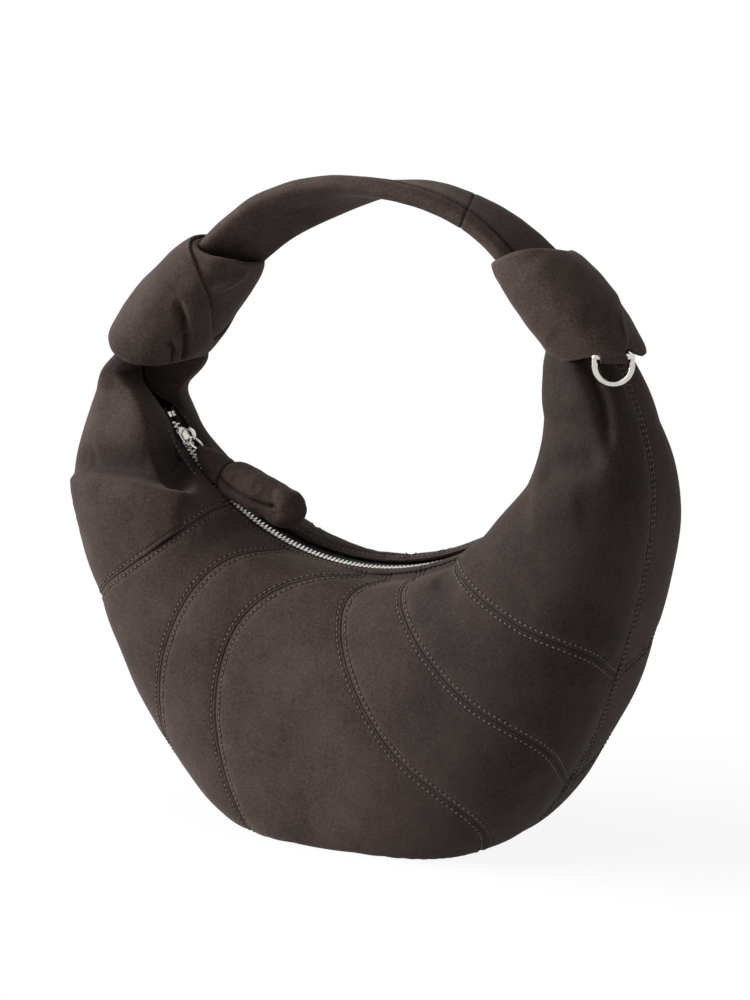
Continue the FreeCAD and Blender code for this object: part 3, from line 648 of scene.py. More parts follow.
def nap_group():
    """Brushed nap of nubuck: Shade is light and dark fibre, Height its relief, Dull its uneven roughness."""
    tree, given, result = new_group("nubuck_nap", {"Grain": 1200.0, "Brush": 1.0},
                                    ("Shade", "Height", "Dull"))
    place, grain = given.outputs["Vector"], given.outputs["Grain"]
    fine = noise(tree, place, grain, 3.0, 0.65)
    pores = noise(tree, place, times(tree, grain, 0.38), 2.0)
    stretched = add_node(tree, "ShaderNodeMapping", {"Vector": place, "Rotation": (0.5, 0.3, 0.4),
                                                     "Scale": (1.0, 1.0, 0.55)}).outputs["Vector"]
    strokes = noise(tree, stretched, 130.0, 3.0, 0.6)
    patches = noise(tree, place, 22.0, 3.0)
    brushed = plus(tree, times(tree, strokes, 0.35), times(tree, patches, 0.65))
    brushed = times(tree, about_zero(tree, brushed), given.outputs["Brush"])
    speckle = times(tree, about_zero(tree, fine), 1.8)
    shade = plus(tree, plus(tree, brushed, speckle), 0.5, clamp=True)
    height = plus(tree, times(tree, fine, 0.6), times(tree, pores, 0.4))
    dull = plus(tree, times(tree, pores, 0.12), 0.78)
    for name, socket in (("Shade", shade), ("Height", height), ("Dull", dull)):
        tree.links.new(socket, result.inputs[name])
    return tree


def weave_group():
    """Twill weave: Thread is 0 between threads and 1 on them, Tone differs from thread to thread."""
    tree, given, result = new_group("twill_weave", {"Threads": 900.0}, ("Thread", "Tone"))
    place = add_node(tree, "ShaderNodeVectorMath", {0: given.outputs["Vector"]}, operation="SCALE")
    tree.links.new(given.outputs["Threads"], place.inputs["Scale"])
    scaled = place.outputs[0]
    slant = add_node(tree, "ShaderNodeTexWave",
                     {"Vector": scaled, "Scale": 1.0, "Distortion": 0.6, "Detail": 1.0},
                     wave_type="BANDS", bands_direction="DIAGONAL")
    cross = add_node(tree, "ShaderNodeTexWave", {"Vector": scaled, "Scale": 1.4, "Distortion": 0.4},
                     wave_type="BANDS", bands_direction="Z")
    thread = times(tree, slant.outputs["Fac"], cross.outputs["Fac"])
    tone = noise(tree, scaled, 0.6, 2.0)
    tree.links.new(thread, result.inputs["Thread"])
    tree.links.new(tone, result.inputs["Tone"])
    return tree


def smudge_group():
    """Handling marks on hard pieces: Mark is 0 where clean and 1 where rubbed, Fine is a small relief."""
    tree, given, result = new_group("handling_marks", {"Scale": 120.0}, ("Mark", "Fine"))
    place, scale = given.outputs["Vector"], given.outputs["Scale"]
    clouds = noise(tree, place, scale, 4.0, 0.65)
    mark = times(tree, about_zero(tree, clouds, 0.38), 3.0, clamp=True)
    fine = noise(tree, place, times(tree, scale, 14.0), 2.0)
    tree.links.new(mark, result.inputs["Mark"])
    tree.links.new(fine, result.inputs["Fine"])
    return tree


NAP, WEAVE, SMUDGE = nap_group(), weave_group(), smudge_group()


def new_material(name, **principled):
    """Material with a Principled shader; values are set on its sockets."""
    material = bpy.data.materials.new(name)
    material.use_nodes = True
    tree = material.node_tree
    shader = tree.nodes["Principled BSDF"]
    for socket, value in principled.items():
        shader.inputs[socket.replace("_", " ")].default_value = value
    place = tree.nodes.new("ShaderNodeTexCoord").outputs["Object"]
    return material, tree, shader, place


def placed_group(tree, group, place, **values):
    """Outputs of a node group put into a material with its own values."""
    made = add_node(tree, "ShaderNodeGroup", node_tree=group)
    tree.links.new(place, made.inputs["Vector"])
    for name, value in values.items():
        made.inputs[name].default_value = value
    return made.outputs


def relief(tree, shader, height, strength, distance):
    """Fine relief of a finish, by a height and its depth in metres."""
    bump_node = add_node(tree, "ShaderNodeBump",
                         {"Height": height, "Strength": strength, "Distance": distance})
    tree.links.new(bump_node.outputs["Normal"], shader.inputs["Normal"])


def nubuck(name, dark, light, grain=900.0, brush=1.7):
    """Nubuck: nap between two browns, darkened by painted shade, paler with wear and painted highlight."""
    material, tree, shader, place = new_material(name, Sheen_Weight=0.13, Sheen_Roughness=0.40,
                                                 Sheen_Tint=(0.50, 0.42, 0.38, 1.0), Specular_IOR_Level=0.13)
    nap = placed_group(tree, NAP, place, Grain=grain, Brush=brush)
    colour = colour_mix(tree, nap["Shade"], dark, light)
    # Painted shade: darker in creases, seam grooves, recesses, needle holes and under layer edges
    pressed = times(tree, point_mark(tree, "pressed"), 0.9, clamp=True)
    colour = colour_mix(tree, pressed, colour, toned(dark, 0.42))
    # Paler on ridges, edges and the tops of rolls: partly wear, partly painted highlight
    rubbed = times(tree, point_mark(tree, "rubbed"), plus(tree, nap["Shade"], 0.1), clamp=True)
    colour = colour_mix(tree, rubbed, colour, toned(light, 1.35))
    # Painted shade: the front grows darker towards the right as if the light fell off, the back is evenly
    # darker
    painted_side_shade = times(tree, point_mark(tree, "painted_side_shade"), 0.42)
    colour = colour_mix(tree, painted_side_shade, colour, (0, 0, 0, 1))
    tree.links.new(colour, shader.inputs["Base Color"])
    tree.links.new(nap["Dull"], shader.inputs["Roughness"])
    relief(tree, shader, nap["Height"], 0.5, 0.0006)
    return material


def cloth(name, dark, light, threads, rough=0.85):
    """Woven cloth or thread: two tones of a twill, with painted shade where the points carry it."""
    material, tree, shader, place = new_material(name, Roughness=rough, Sheen_Weight=0.1,
                                                 Specular_IOR_Level=0.2)
    weave = placed_group(tree, WEAVE, place, Threads=threads)
    colour = colour_mix(tree, weave["Thread"], dark, light)
    colour = colour_mix(tree, times(tree, weave["Tone"], 0.5), colour, dark)
    # Painted shade, such as in the needle holes between the stitches
    colour = colour_mix(tree, point_mark(tree, "pressed"), colour, toned(dark, 0.12))
    tree.links.new(colour, shader.inputs["Base Color"])
    relief(tree, shader, weave["Thread"], 0.5, 0.0003)
    return material


def metal(name, clean, handled, smooth_value, rough_value, scale=140.0):
    """Polished metal whose shine is broken by faint handling marks."""
    material, tree, shader, place = new_material(name, Metallic=1.0)
    marks = placed_group(tree, SMUDGE, place, Scale=scale)
    tree.links.new(colour_mix(tree, marks["Mark"], clean, handled), shader.inputs["Base Color"])
    rough = plus(tree, times(tree, marks["Mark"], rough_value - smooth_value), smooth_value)
    tree.links.new(rough, shader.inputs["Roughness"])
    relief(tree, shader, marks["Fine"], 0.04, 0.0002)
    return material


def plain_solid(name, dark, light, rough, scale, depth):
    """Board or foam: two close tones and a fine relief."""
    material, tree, shader, place = new_material(name, Roughness=rough, Specular_IOR_Level=0.3)
    marks = placed_group(tree, SMUDGE, place, Scale=scale)
    tree.links.new(colour_mix(tree, marks["Mark"], dark, light), shader.inputs["Base Color"])
    relief(tree, shader, marks["Fine"], 0.5, depth)
    return material


DARK_BROWN = (0.0160, 0.0107, 0.0091, 1)
SUEDE = nubuck("brown_nubuck", DARK_BROWN, (0.0590, 0.0407, 0.0354, 1))
STRAP_SUEDE = nubuck("brown_nubuck_strap", DARK_BROWN, (0.0600, 0.0414, 0.0360, 1), 950.0, 1.6)
THREAD = cloth("stitching_thread", (0.100, 0.076, 0.065, 1), (0.230, 0.180, 0.154, 1), 4200.0, 0.7)
TAPE = cloth("zip_tape_weave", (0.008, 0.0066, 0.006, 1), (0.028, 0.023, 0.021, 1), 2600.0)
LINING = cloth("lining_twill", (0.019, 0.015, 0.013, 1), (0.047, 0.038, 0.034, 1), 1500.0)
NICKEL = metal("polished_nickel", (0.66, 0.63, 0.59, 1), (0.52, 0.49, 0.45, 1), 0.12, 0.30)
TEETH_METAL = metal("zip_teeth_nickel", (0.86, 0.83, 0.78, 1), (0.66, 0.63, 0.58, 1), 0.38, 0.52, 300.0)
BOARD = plain_solid("stiffening_board", (0.020, 0.019, 0.018, 1), (0.034, 0.032, 0.030, 1), 0.7, 60.0, 0.0003)
FOAM = plain_solid("soft_filling", (0.42, 0.39, 0.35, 1), (0.58, 0.55, 0.50, 1), 0.95, 220.0, 0.0006)


# Leather panels

# Distances of the mesh's lines from a seam, and places of its rows on the lip
NEAR_SEAM = np.array([0.04, 0.22, 0.5, 0.9, 1.35, 1.75, 2.1, 2.45, 2.9, 3.6, 4.8, 6.6, 9.2])
LIP_ROWS = np.array([-1.0, -0.97, -0.92, -0.84, -0.75, -0.68, -0.61, -0.5, -0.36, -0.2])
BODY_ROWS = 57
COLUMN_WIDTH, FEWEST_COLUMNS, MOST_COLUMNS = 2.6, 12, 60
NARROW_PANEL = 24
# The ends of the horns inside the knots have no seam, so it is counted as this far away
NO_SEAM = 60
LAST_PANEL = len(PANELS) - 1


def seam_dip(distance):
    """Profile of the leather beside a sewn seam: a groove on the seam and a dent under the stitches."""
    return -0.30 * bump(distance, 0, 0.40) - 0.36 * bump(distance, STITCH_OFFSET, 0.55)


def puckers(run, distance):
    """Small gathers along a seam, dying away from it."""
    wave = np.sin(2 * math.pi * run / 8.3 + 1.4 * np.sin(run / 15.0))
    return 0.26 * wave * np.exp(-distance / 6.0) * (1 - np.exp(-(distance / 1.6) ** 2))


def panel_rows(number, half):
    """Places of a panel's rows, close together at the zip and at the centre seam."""
    middle = np.mean([seam_angle(seam, np.array(1.5)) for seam in (number, number + 1)])
    depth = section(np.array(middle), half)[3]
    end = place_before_centre(NEAR_SEAM[::-1], depth)
    body = np.linspace(0, end[0], BODY_ROWS, endpoint=False)
    return np.concatenate([LIP_ROWS, body, end])


def panel_columns(number, rows, half):
    """Angle and distances to both seams for every point of a panel."""
    left, right = seam_angle(number, rows), seam_angle(number + 1, rows)
    left_scale, right_scale = seam_scale(number, rows, half), seam_scale(number + 1, rows, half)
    width = (right - left) * (left_scale + right_scale) / 2
    squeeze = np.minimum(1, width / NARROW_PANEL)[:, None]
    near = NEAR_SEAM[None] * squeeze
    first = left[:, None] + near / left_scale[:, None]
    last = right[:, None] - near[:, ::-1] / right_scale[:, None]
    count = int(np.clip(width.max() / COLUMN_WIDTH, FEWEST_COLUMNS, MOST_COLUMNS))
    share = np.linspace(0, 1, count + 2)[None, 1:-1]
    middle = first[:, -1:] + (last[:, :1] - first[:, -1:]) * share
    angle = np.concatenate([first, middle, last], axis=1)
    from_left = (angle - left[:, None]) * left_scale[:, None]
    from_right = (right[:, None] - angle) * right_scale[:, None]
    if number == 0:
        from_left = from_left + NO_SEAM
    if number == LAST_PANEL:
        from_right = from_right + NO_SEAM
    return angle, from_left, from_right


def run_lengths(points):
    """Length along each column of points."""
    steps = np.linalg.norm(np.diff(points, axis=0), axis=-1)
    return np.concatenate([np.zeros((1, points.shape[1])), np.cumsum(steps, axis=0)])


def leather_skin(angle, place, from_left, from_right, from_centre, from_lip, name, half):
    """Outer face of the leather, swollen between seams, with grooves, gathers and folds, and its painted
    shade and highlight.
    """
    raw = raw_point(angle, place, half)
    run = run_lengths(raw)
    fill = ((1 - np.exp(-from_left / 11)) * (1 - np.exp(-from_right / 11))
            * (1 - np.exp(-from_centre / 10)) * (1 - np.exp(-from_lip / 6)))
    full = 1.8 - 1.2 * (half == BACK) * smooth(-np.degrees(angle), 25, 45) * (1 - smooth(place, 0.2, 0.8))
    swell = SKIN_LIFT + (full + 0.8 * undulation(on_half(raw, half), 85.0)) * fill
    swell = swell - 0.6 * bump(from_lip, 0, 0.6) - 0.22 * bump(from_lip, LIP_STITCH_OFFSET, 0.6)
    folds = soft_folds(raw, half, [name])
    swell = swell + folds
    # Painted shade in deep folds, inside the open left horn and under the lip stitches
    inside_horn = smooth(-np.degrees(angle), 52, 66) * smooth(-place, 0.02, 0.3)
    pressed = np.maximum(0.07 * np.clip(-folds - 1.5, 0, 7), 0.55 * inside_horn * (half == FRONT))
    pressed = np.maximum(pressed, 0.5 * bump(from_lip, LIP_STITCH_OFFSET, 0.5))
    # Paler along the zip edge and on the seam ridges: wear, partly painted highlight
    rubbed = 0.6 * bump(from_lip, 0.6, 0.8)
    for distance in (from_left, from_right, from_centre):
        swell = swell + seam_dip(distance) + puckers(run, distance)
        # Painted shade in each seam's groove and in the dents under its stitches
        pressed = np.maximum(pressed, 0.3 * bump(distance, 0, 0.3))
        pressed = np.maximum(pressed, 0.45 * bump(distance, STITCH_OFFSET, 0.5))
        rubbed = np.maximum(rubbed, 0.5 * bump(distance, 1.1, 0.5) + 0.28 * bump(distance, 3.6, 1.2))
    # Painted shade: the front darker towards the right, as if the light fell off; the back evenly darker
    painted_side_shade = smooth(raw[..., 0], 0, 80) if half == FRONT else np.full_like(swell, 0.4)
    points = floored(raw + outward(angle, place, half) * swell[..., None], -BASE_SINK)
    return on_half(points, half), dict(pressed=pressed, rubbed=rubbed, painted_side_shade=painted_side_shade)


def panel(number, half):
    """One leather panel with its thickness."""
    name = PANELS[number]
    rows = panel_rows(number, half)
    angle, from_left, from_right = panel_columns(number, rows, half)
    place = shifted(np.broadcast_to(rows[:, None], angle.shape), angle, half)
    run = run_lengths(raw_point(angle, place, half))
    skin, marks = leather_skin(angle, place, from_left, from_right, run[-1:] - run, run, name, half)
    if half == FRONT:
        skin = skin[:, ::-1]
        marks = {mark: values[:, ::-1] for mark, values in marks.items()}
    piece = laid_grid("panel_%s_%s" % (HALF_NAMES[half], name), skin, **marks)
    apply(piece, "SOLIDIFY", thickness=LEATHER * MM, offset=-1.0)
    return piece


# Edges of the leather sharper than this angle, in degrees, are shaded sharp
SHARP_LEATHER_EDGE = 50


def neck_bends(piece):
    """Bake a piece's place into its mesh."""
    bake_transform(piece)


for half in (FRONT, BACK):
    for number, name in enumerate(PANELS):
        made = panel(number, half)
        node_name = "%s_%s" % (HALF_NAMES[half], name)
        if number in (0, LAST_PANEL):
            side = LEFT if number == 0 else RIGHT
            stands_for = [node_name, "neck_" + SIDE_NAMES[side]] if half == FRONT else [node_name]
            dressed(made, SUEDE, None, stands_for, SHARP_LEATHER_EDGE)
            neck_bends(made)
        else:
            dressed(made, SUEDE, "bag", [node_name], SHARP_LEATHER_EDGE)


# Stitching

def stitch_shape():
    """One stitch, modelled once: a small sphere drawn out to blunt ends; returns points and faces."""
    deselect()
    bpy.ops.mesh.primitive_uv_sphere_add(segments=6, ring_count=4, radius=0.5)
    ball = bpy.context.object
    edit(ball, lambda: bpy.ops.transform.rotate(value=math.pi / 2, orient_axis="Y",
                                                center_override=(0, 0, 0)))
    points, faces = as_pattern(ball)
    points[:, 0] = signed_power(2 * points[:, 0], 0.7) / 2
    return points, faces


STITCH = stitch_shape()
# Length, width and height of a stitch and of a needle hole, and how deep the hole lies
STITCH_SIZE = (1.55, 0.95, 0.80)
NEEDLE_HOLE_SIZE = (1.00, 0.90, 0.70)
NEEDLE_HOLE_DEPTH = 0.25
# Place of the stitches beside the zip, and the angle where they end on both sides
LIP_STITCH_PLACE, LIP_STITCH_END = -0.66, 76
# Angles between which the stitches of the centre seam belong to a neck
NECK_STITCH_START, NECK_STITCH_END = 68, 98


def stitch_rows(name, lines, normals):
    """Stitches laid along lines of points with a needle hole between them, all copies of one shape; the holes
    carry painted shade.
    """
    places, dark = [], []
    for line, normal in zip(lines, normals):
        steps = np.linalg.norm(np.diff(line, axis=0), axis=1)
        reach = np.concatenate([[0.0], np.cumsum(steps)])
        spots = np.arange(STITCH_PITCH, reach[-1] - STITCH_PITCH, STITCH_PITCH / 2)
        for number, spot in enumerate(spots):
            middle, ahead, out = [np.array([np.interp(where, reach, source[:, n]) for n in range(3)])
                                  for where, source in ((spot, line), (spot + 0.5, line), (spot, normal))]
            along = unit(ahead - middle)
            up = unit(out - along * (out @ along))
            beside = np.cross(up, along)
            is_hole = number % 2
            length, width, height = NEEDLE_HOLE_SIZE if is_hole else STITCH_SIZE
            low_middle = middle - up * NEEDLE_HOLE_DEPTH * is_hole
            places.append((low_middle, along * length, beside * width, up * height))
            # Needle holes are painted dark as shade
            dark.extend([float(is_hole)] * len(STITCH[0]))
    piece = copied(name, STITCH, places)
    piece.data.attributes.new("pressed", "FLOAT", "POINT").data.foreach_set("value", dark)
    return piece


def thread_line(angle, place, half, lift):
    """Line over the leather on one half of the bag, and the directions out of it."""
    out = outward(angle, place, half)
    points = floored(raw_point(angle, place, half) + out * lift, -BASE_SINK + 0.05)
    return on_half(points, half), on_half(out, half)


def seam_line(seam, offset, half):
    """Line beside a seam, and the directions out of it."""
    place = np.linspace(-0.5, 1.97, 250)
    angle = seam_angle(seam, place) + offset / seam_scale(seam, place, half)
    return thread_line(angle, shifted(place, angle, half), half, STITCH_LIFT)


def centre_line(first, last, half):
    """Line beside the centre seam between two angles, and the directions out of it."""
    angle = np.radians(np.linspace(first, last, 300))
    depth = section(angle, half)[3]
    place = place_before_centre(STITCH_OFFSET, depth) - centre_shift(angle, half)
    return thread_line(angle, place, half, STITCH_LIFT)


def lip_line(first, last, half):
    """Line along the leather edge beside the zip, and the directions out of it."""
    angle = np.radians(np.linspace(first, last, 300))
    return thread_line(angle, np.full_like(angle, LIP_STITCH_PLACE), half, SKIN_LIFT + 0.3)


for half in (FRONT, BACK):
    for seam in SEAMS:
        lines, normals = zip(*[seam_line(seam, offset, half) for offset in (-STITCH_OFFSET, STITCH_OFFSET)])
        stitches = stitch_rows("stitches_%s_seam_%d" % (HALF_NAMES[half], seam), lines, normals)
        dressed(stitches, THREAD, "bag")
    lines, normals = zip(lip_line(-LIP_STITCH_END, LIP_STITCH_END, half),
                         centre_line(-NECK_STITCH_START, NECK_STITCH_START, half))
    dressed(stitch_rows("stitches_%s_edges" % HALF_NAMES[half], lines, normals), THREAD, "bag")
    for side in (LEFT, RIGHT):
        line, normal = centre_line(side * NECK_STITCH_START, side * NECK_STITCH_END, half)
        stitches = stitch_rows("stitches_%s_neck_%s" % (HALF_NAMES[half], SIDE_NAMES[side]), [line], [normal])
        dressed(stitches, THREAD)
        neck_bends(stitches)


# Lining inside the leather

# Angle to which the lining reaches on both sides, and how far it lies inside the leather
LINING_REACH, LINING_INSET = 76, 4.2
# How far it keeps off the middle plane and off the floor
LINING_GAP, LINING_FLOOR = 0.3, 4.6
LINING_THICKNESS = 0.5


def lining(half):
    """Half of the lining: a cloth shell a little inside the leather."""
    angles = np.radians(np.linspace(-LINING_REACH, LINING_REACH, 90))
    angle, place = np.meshgrid(angles, np.linspace(-0.98, 1.97, 60))
    raw = raw_point(angle, place, half)
    depth_inside = LINING_INSET - np.minimum(soft_folds(raw, half), 0)
    inside = raw - outward(angle, place, half) * depth_inside[..., None]
    radius = np.hypot(inside[..., 0], inside[..., 2] - HOLE_HEIGHT)
    radius = np.maximum(radius, section(angle, half)[1] + LIP_LIFT + 1.6)
    inside[..., 0] = radius * np.sin(angle)
    inside[..., 2] = HOLE_HEIGHT - radius * np.cos(angle)
    inside[..., 1] = np.minimum(inside[..., 1], -LINING_GAP)
    inside = floored(inside + 0.5 * undulation(inside, 30.0)[..., None] * np.array([0, 1, 0]), LINING_FLOOR)
    inside[..., 1] = np.minimum(inside[..., 1], -LINING_GAP)
    points = on_half(inside, half)
    if half == FRONT:
        points = points[:, ::-1]
    piece = laid_grid("lining_cloth_%s" % HALF_NAMES[half], points)
    apply(piece, "SOLIDIFY", thickness=LINING_THICKNESS * MM, offset=-1.0)
    dressed(piece, LINING, "bag", ["lining_%s" % HALF_NAMES[half]])
    return piece


for half in (FRONT, BACK):
    lining(half)
finish_node("base_board", BOARD)


# Zip

CHAIN_RADIUS = ZIP_RADIUS + 0.4
TAPE_REACH, TAPE_THICKNESS = 63, 0.7
TOOTH_PITCH, TEETH_REACH, TEETH_OFFSET = 2.4, 59.5, 1.35
# Length, width and height of a tooth, and the shares that its head keeps of them
TOOTH_SIZE, TOOTH_HEAD = (1.35, 3.6, 2.5), (0.8, 1.0, 0.72)
SHARP_METAL_EDGE = 40


def zip_frame(angle):
    """Middle of the chain and the directions along, back and up at an angle on the zip's arc."""
    turn = math.radians(angle)
    middle = np.array([CHAIN_RADIUS * math.sin(turn), 0, ZIP_CENTRE - CHAIN_RADIUS * math.cos(turn)])
    along = np.array([math.cos(turn), 0, math.sin(turn)])
    up = np.array([-math.sin(turn), 0, math.cos(turn)])
    return middle, along, np.array([0.0, 1.0, 0.0]), up


def zip_tape(half):
    """Woven tape with a corded inner edge."""
    across = np.array([2.0, 2.25, 2.7, 3.15, 3.5, 4.2, 6.0, 8.0, 10.0, 12.3])
    lift = np.array([0.3, 0.85, 1.05, 0.85, 0.45, 0.4, 0.38, 0.36, 0.34, 0.3])
    rows = []
    for angle in np.linspace(-TAPE_REACH, TAPE_REACH, 220):
        middle, _, back, up = zip_frame(angle)
        rows.append(middle + np.outer(half * across, back) + np.outer(lift, up))
    points = np.array(rows)
    if half == FRONT:
        points = points[:, ::-1]
    piece = laid_grid("tape_weave_%s" % HALF_NAMES[half], points)
    edit(piece, bpy.ops.mesh.flip_normals)
    apply(piece, "SOLIDIFY", thickness=TAPE_THICKNESS * MM, offset=-1.0)
    return dressed(piece, TAPE, "bag", ["zip_tape_%s" % HALF_NAMES[half]])


def tooth_shape():
    """One zip tooth, modelled once: a block with a narrower rounded head; returns points and faces."""
    block = new_block()
    points = corners(block) * np.array(TOOTH_SIZE)
    head = points[:, 1] < 0
    points[head] *= np.array(TOOTH_HEAD)
    block.data.vertices.foreach_set("co", points.astype(np.float32).ravel())
    edit(block, lambda: bpy.ops.mesh.bevel(offset=0.3, segments=1, affect="EDGES"))
    return as_pattern(block)


TOOTH = tooth_shape()


def zip_teeth(half):
    """One row of teeth, set half a pitch against the other row."""
    step = math.degrees(TOOTH_PITCH / CHAIN_RADIUS)
    count = int(2 * TEETH_REACH / step)
    places = []
    for number in range(count):
        angle = (number - (count - 1) / 2 + half / 4) * step
        middle, along, back, up = zip_frame(angle)
        places.append((middle + half * TEETH_OFFSET * back, along, half * back, up))
    piece = copied("tooth_row_%s" % HALF_NAMES[half], TOOTH, places)
    node_name = "zip_teeth_%s" % HALF_NAMES[half]
    return dressed(piece, TEETH_METAL, "bag", [node_name], SHARP_METAL_EDGE)


STOP_LENGTH, STOP_HEIGHT, STOP_ANGLE = 3.0, 2.7, 61.2


def zip_stop(name, angle, low, high):
    """Clamp at an end of the chain: a block pinched along its middle with rounded edges."""
    block = new_block()
    block.name = name + "_clamp"
    edit(block, lambda: bpy.ops.mesh.subdivide(number_cuts=3))
    shape = corners(block)
    pinch = 1 - 0.18 * bump(shape[:, 0], 0, 0.22)
    middle, along, back, up = zip_frame(angle)
    across = (low + high) / 2 + shape[:, 1] * (high - low)
    set_corners(block, middle + np.outer(shape[:, 0] * STOP_LENGTH, along) + np.outer(across, back)
                + np.outer(shape[:, 2] * STOP_HEIGHT * pinch, up))
    apply(block, "BEVEL", width=0.35 * MM, segments=2, limit_method="ANGLE")
    return dressed(block, TEETH_METAL, "bag", [name], SHARP_METAL_EDGE)


for half in (FRONT, BACK):
    zip_tape(half)
    zip_teeth(half)
zip_stop("zip_top_stop_front", -STOP_ANGLE, -3.1, -0.6)
zip_stop("zip_top_stop_back", -STOP_ANGLE, 0.6, 3.1)
zip_stop("zip_bottom_stop", STOP_ANGLE, -3.1, 3.1)


# Slider, ring and pull

SLIDER_ANGLE = -55.0
SLIDER_MIDDLE, SLIDER_ALONG, SLIDER_BACK, SLIDER_UP = zip_frame(SLIDER_ANGLE)
# Half length and half width of the slider's plates; length, thickness and place of their turned-in sides
PLATE_HALF_LENGTH, PLATE_HALF_WIDTH = 5.6, 5.2
FLANGE_LENGTH, FLANGE_THICKNESS, FLANGE_OUT = 8.4, 0.8, 4.75


def in_slider(points):
    """Points of the slider's own frame, put on the zip."""
    return (SLIDER_MIDDLE + np.outer(points[:, 0], SLIDER_ALONG) + np.outer(points[:, 1], SLIDER_BACK)
            + np.outer(points[:, 2], SLIDER_UP))


def slider_plate(low, high):
    """Plate of the slider: a shield with round shoulders at the wide end, its edges rounded."""
    deselect()
    bpy.ops.mesh.primitive_cylinder_add(vertices=40, radius=1, depth=1)
    plate = bpy.context.object
    shape = corners(plate)
    turn = np.arctan2(shape[:, 1], shape[:, 0])
    along = PLATE_HALF_LENGTH * signed_power(np.cos(turn), 0.75)
    narrowed = 1 - 0.16 * smooth(along, -1.0, PLATE_HALF_LENGTH)
    back = PLATE_HALF_WIDTH * signed_power(np.sin(turn), 0.62) * narrowed
    up = np.where(shape[:, 2] > 0, high, low)
    set_corners(plate, in_slider(np.stack([along, back, up], -1)))
    edit(plate, face_out)
    apply(plate, "BEVEL", width=0.45 * MM, segments=3, limit_method="ANGLE", angle_limit=math.radians(50))
    return plate


def slider_flange(side, low, high):
    """Turned-in side of a plate."""
    flange = new_block()
    shape = corners(flange)
    narrowed = 1 - 0.10 * (shape[:, 0] > 0)
    back = side * FLANGE_OUT * narrowed + shape[:, 1] * FLANGE_THICKNESS
    up = (low + high) / 2 + shape[:, 2] * (high - low)
    set_corners(flange, in_slider(np.stack([shape[:, 0] * FLANGE_LENGTH, back, up], -1)))
    edit(flange, face_out)
    apply(flange, "BEVEL", width=0.25 * MM, segments=2, limit_method="ANGLE")
    return flange


def joined(name, pieces):
    """Pieces made one mesh."""
    deselect()
    for piece in pieces:
        piece.select_set(True)
    bpy.context.view_layer.objects.active = pieces[0]
    bpy.ops.object.join()
    bpy.context.object.name = name
    bpy.context.object.data.name = name
    return bpy.context.object


slider_parts = [slider_plate(1.7, 2.9), slider_plate(-2.9, -1.7)]
for side in (FRONT, BACK):
    slider_parts.append(slider_flange(side, 0.95, 2.2))
    slider_parts.append(slider_flange(side, -2.2, -0.95))
slider = joined("slider_plates", slider_parts)
dressed(slider, NICKEL, "slider", ["slider_body"], SHARP_METAL_EDGE)


def slider_crown():
    """Bow on the slider: an arched band, wide at its middle and narrow at its feet."""
    turn = np.linspace(0, math.pi, 41)
    reach, rise, foot = 3.75, 3.7, 2.9
    half_wide = 0.85 + 0.75 * np.sin(turn) ** 1.5
    half_thick = 0.62
    height = foot + 0.9 * np.sin(turn) ** 0.35 + rise * np.sin(turn)
    middle = np.stack([reach * np.cos(turn), 0 * turn, height], -1)
    out = unit(np.stack([np.cos(turn), 0 * turn, 0.9 * np.sin(turn) + 0.1], -1))
    rings = []
    for number in range(len(turn)):
        ring = []
        for spin in np.linspace(0, 2 * math.pi, 16, endpoint=False):
            wide = signed_power(math.cos(spin), 0.8) * half_wide[number]
            thick = signed_power(math.sin(spin), 0.8) * half_thick
            ring.append(middle[number] + np.array([0, wide, 0]) + out[number] * thick)
        rings.append(in_slider(np.array(ring)))
    return dressed(tube("slider_bow", np.array(rings)), NICKEL, "slider", ["slider_crown"])


slider_crown()
for ring_name in ("pull_ring", "d_ring_left", "d_ring_right"):
    finish_node(ring_name, NICKEL)

# Lean of the small ring, and the distance between the bow and the pull that it holds
RING_LEAN, RING_SPAN = math.radians(12), 10.3
# The pull lies along the zip at its sleeve and bends up towards its tip
SLEEVE_LEAN, PUFF_LEAN, PULL_FORWARD = 18.0, 35.0, math.radians(5)
CROWN_EYE = SLIDER_MIDDLE + SLIDER_UP * 4.0
PULL_EYE = CROWN_EYE + RING_SPAN * (SLIDER_ALONG * math.cos(RING_LEAN) + SLIDER_UP * math.sin(RING_LEAN))


def in_pull(points):
    """Points of the pull's own frame (along, back, up), put on the ring along its bent middle line."""
    steps = np.linspace(-4, 76, 161)
    leans = np.radians(SLEEVE_LEAN + (PUFF_LEAN - SLEEVE_LEAN) * smooth(steps, 10, 26))
    level = np.cos(leans)[:, None] * SLIDER_ALONG + np.sin(leans)[:, None] * SLIDER_UP
    ahead = level * math.cos(PULL_FORWARD) - SLIDER_BACK * math.sin(PULL_FORWARD)
    line = np.cumsum(ahead, axis=0) * (steps[1] - steps[0])
    line = line - line[np.argmin(np.abs(steps))]
    along = points[..., 0]
    middle = np.stack([np.interp(along, steps, line[:, n]) for n in range(3)], -1)
    lean = np.interp(along, steps, leans)[..., None]
    up = SLIDER_UP * np.cos(lean) - SLIDER_ALONG * np.sin(lean)
    direction = np.stack([np.interp(along, steps, ahead[:, n]) for n in range(3)], -1)
    back = np.cross(up, unit(direction))
    return PULL_EYE + middle + points[..., 1:2] * back + points[..., 2:] * up


def oval_ring(along, half_wide, half_high, power, count):
    """Ring of points round the pull's own line."""
    spin = np.linspace(0, 2 * math.pi, count, endpoint=False)
    wide = half_wide * signed_power(np.cos(spin), power)
    high = half_high * signed_power(np.sin(spin), power)
    return np.stack([np.full(count, along), wide, high], -1)


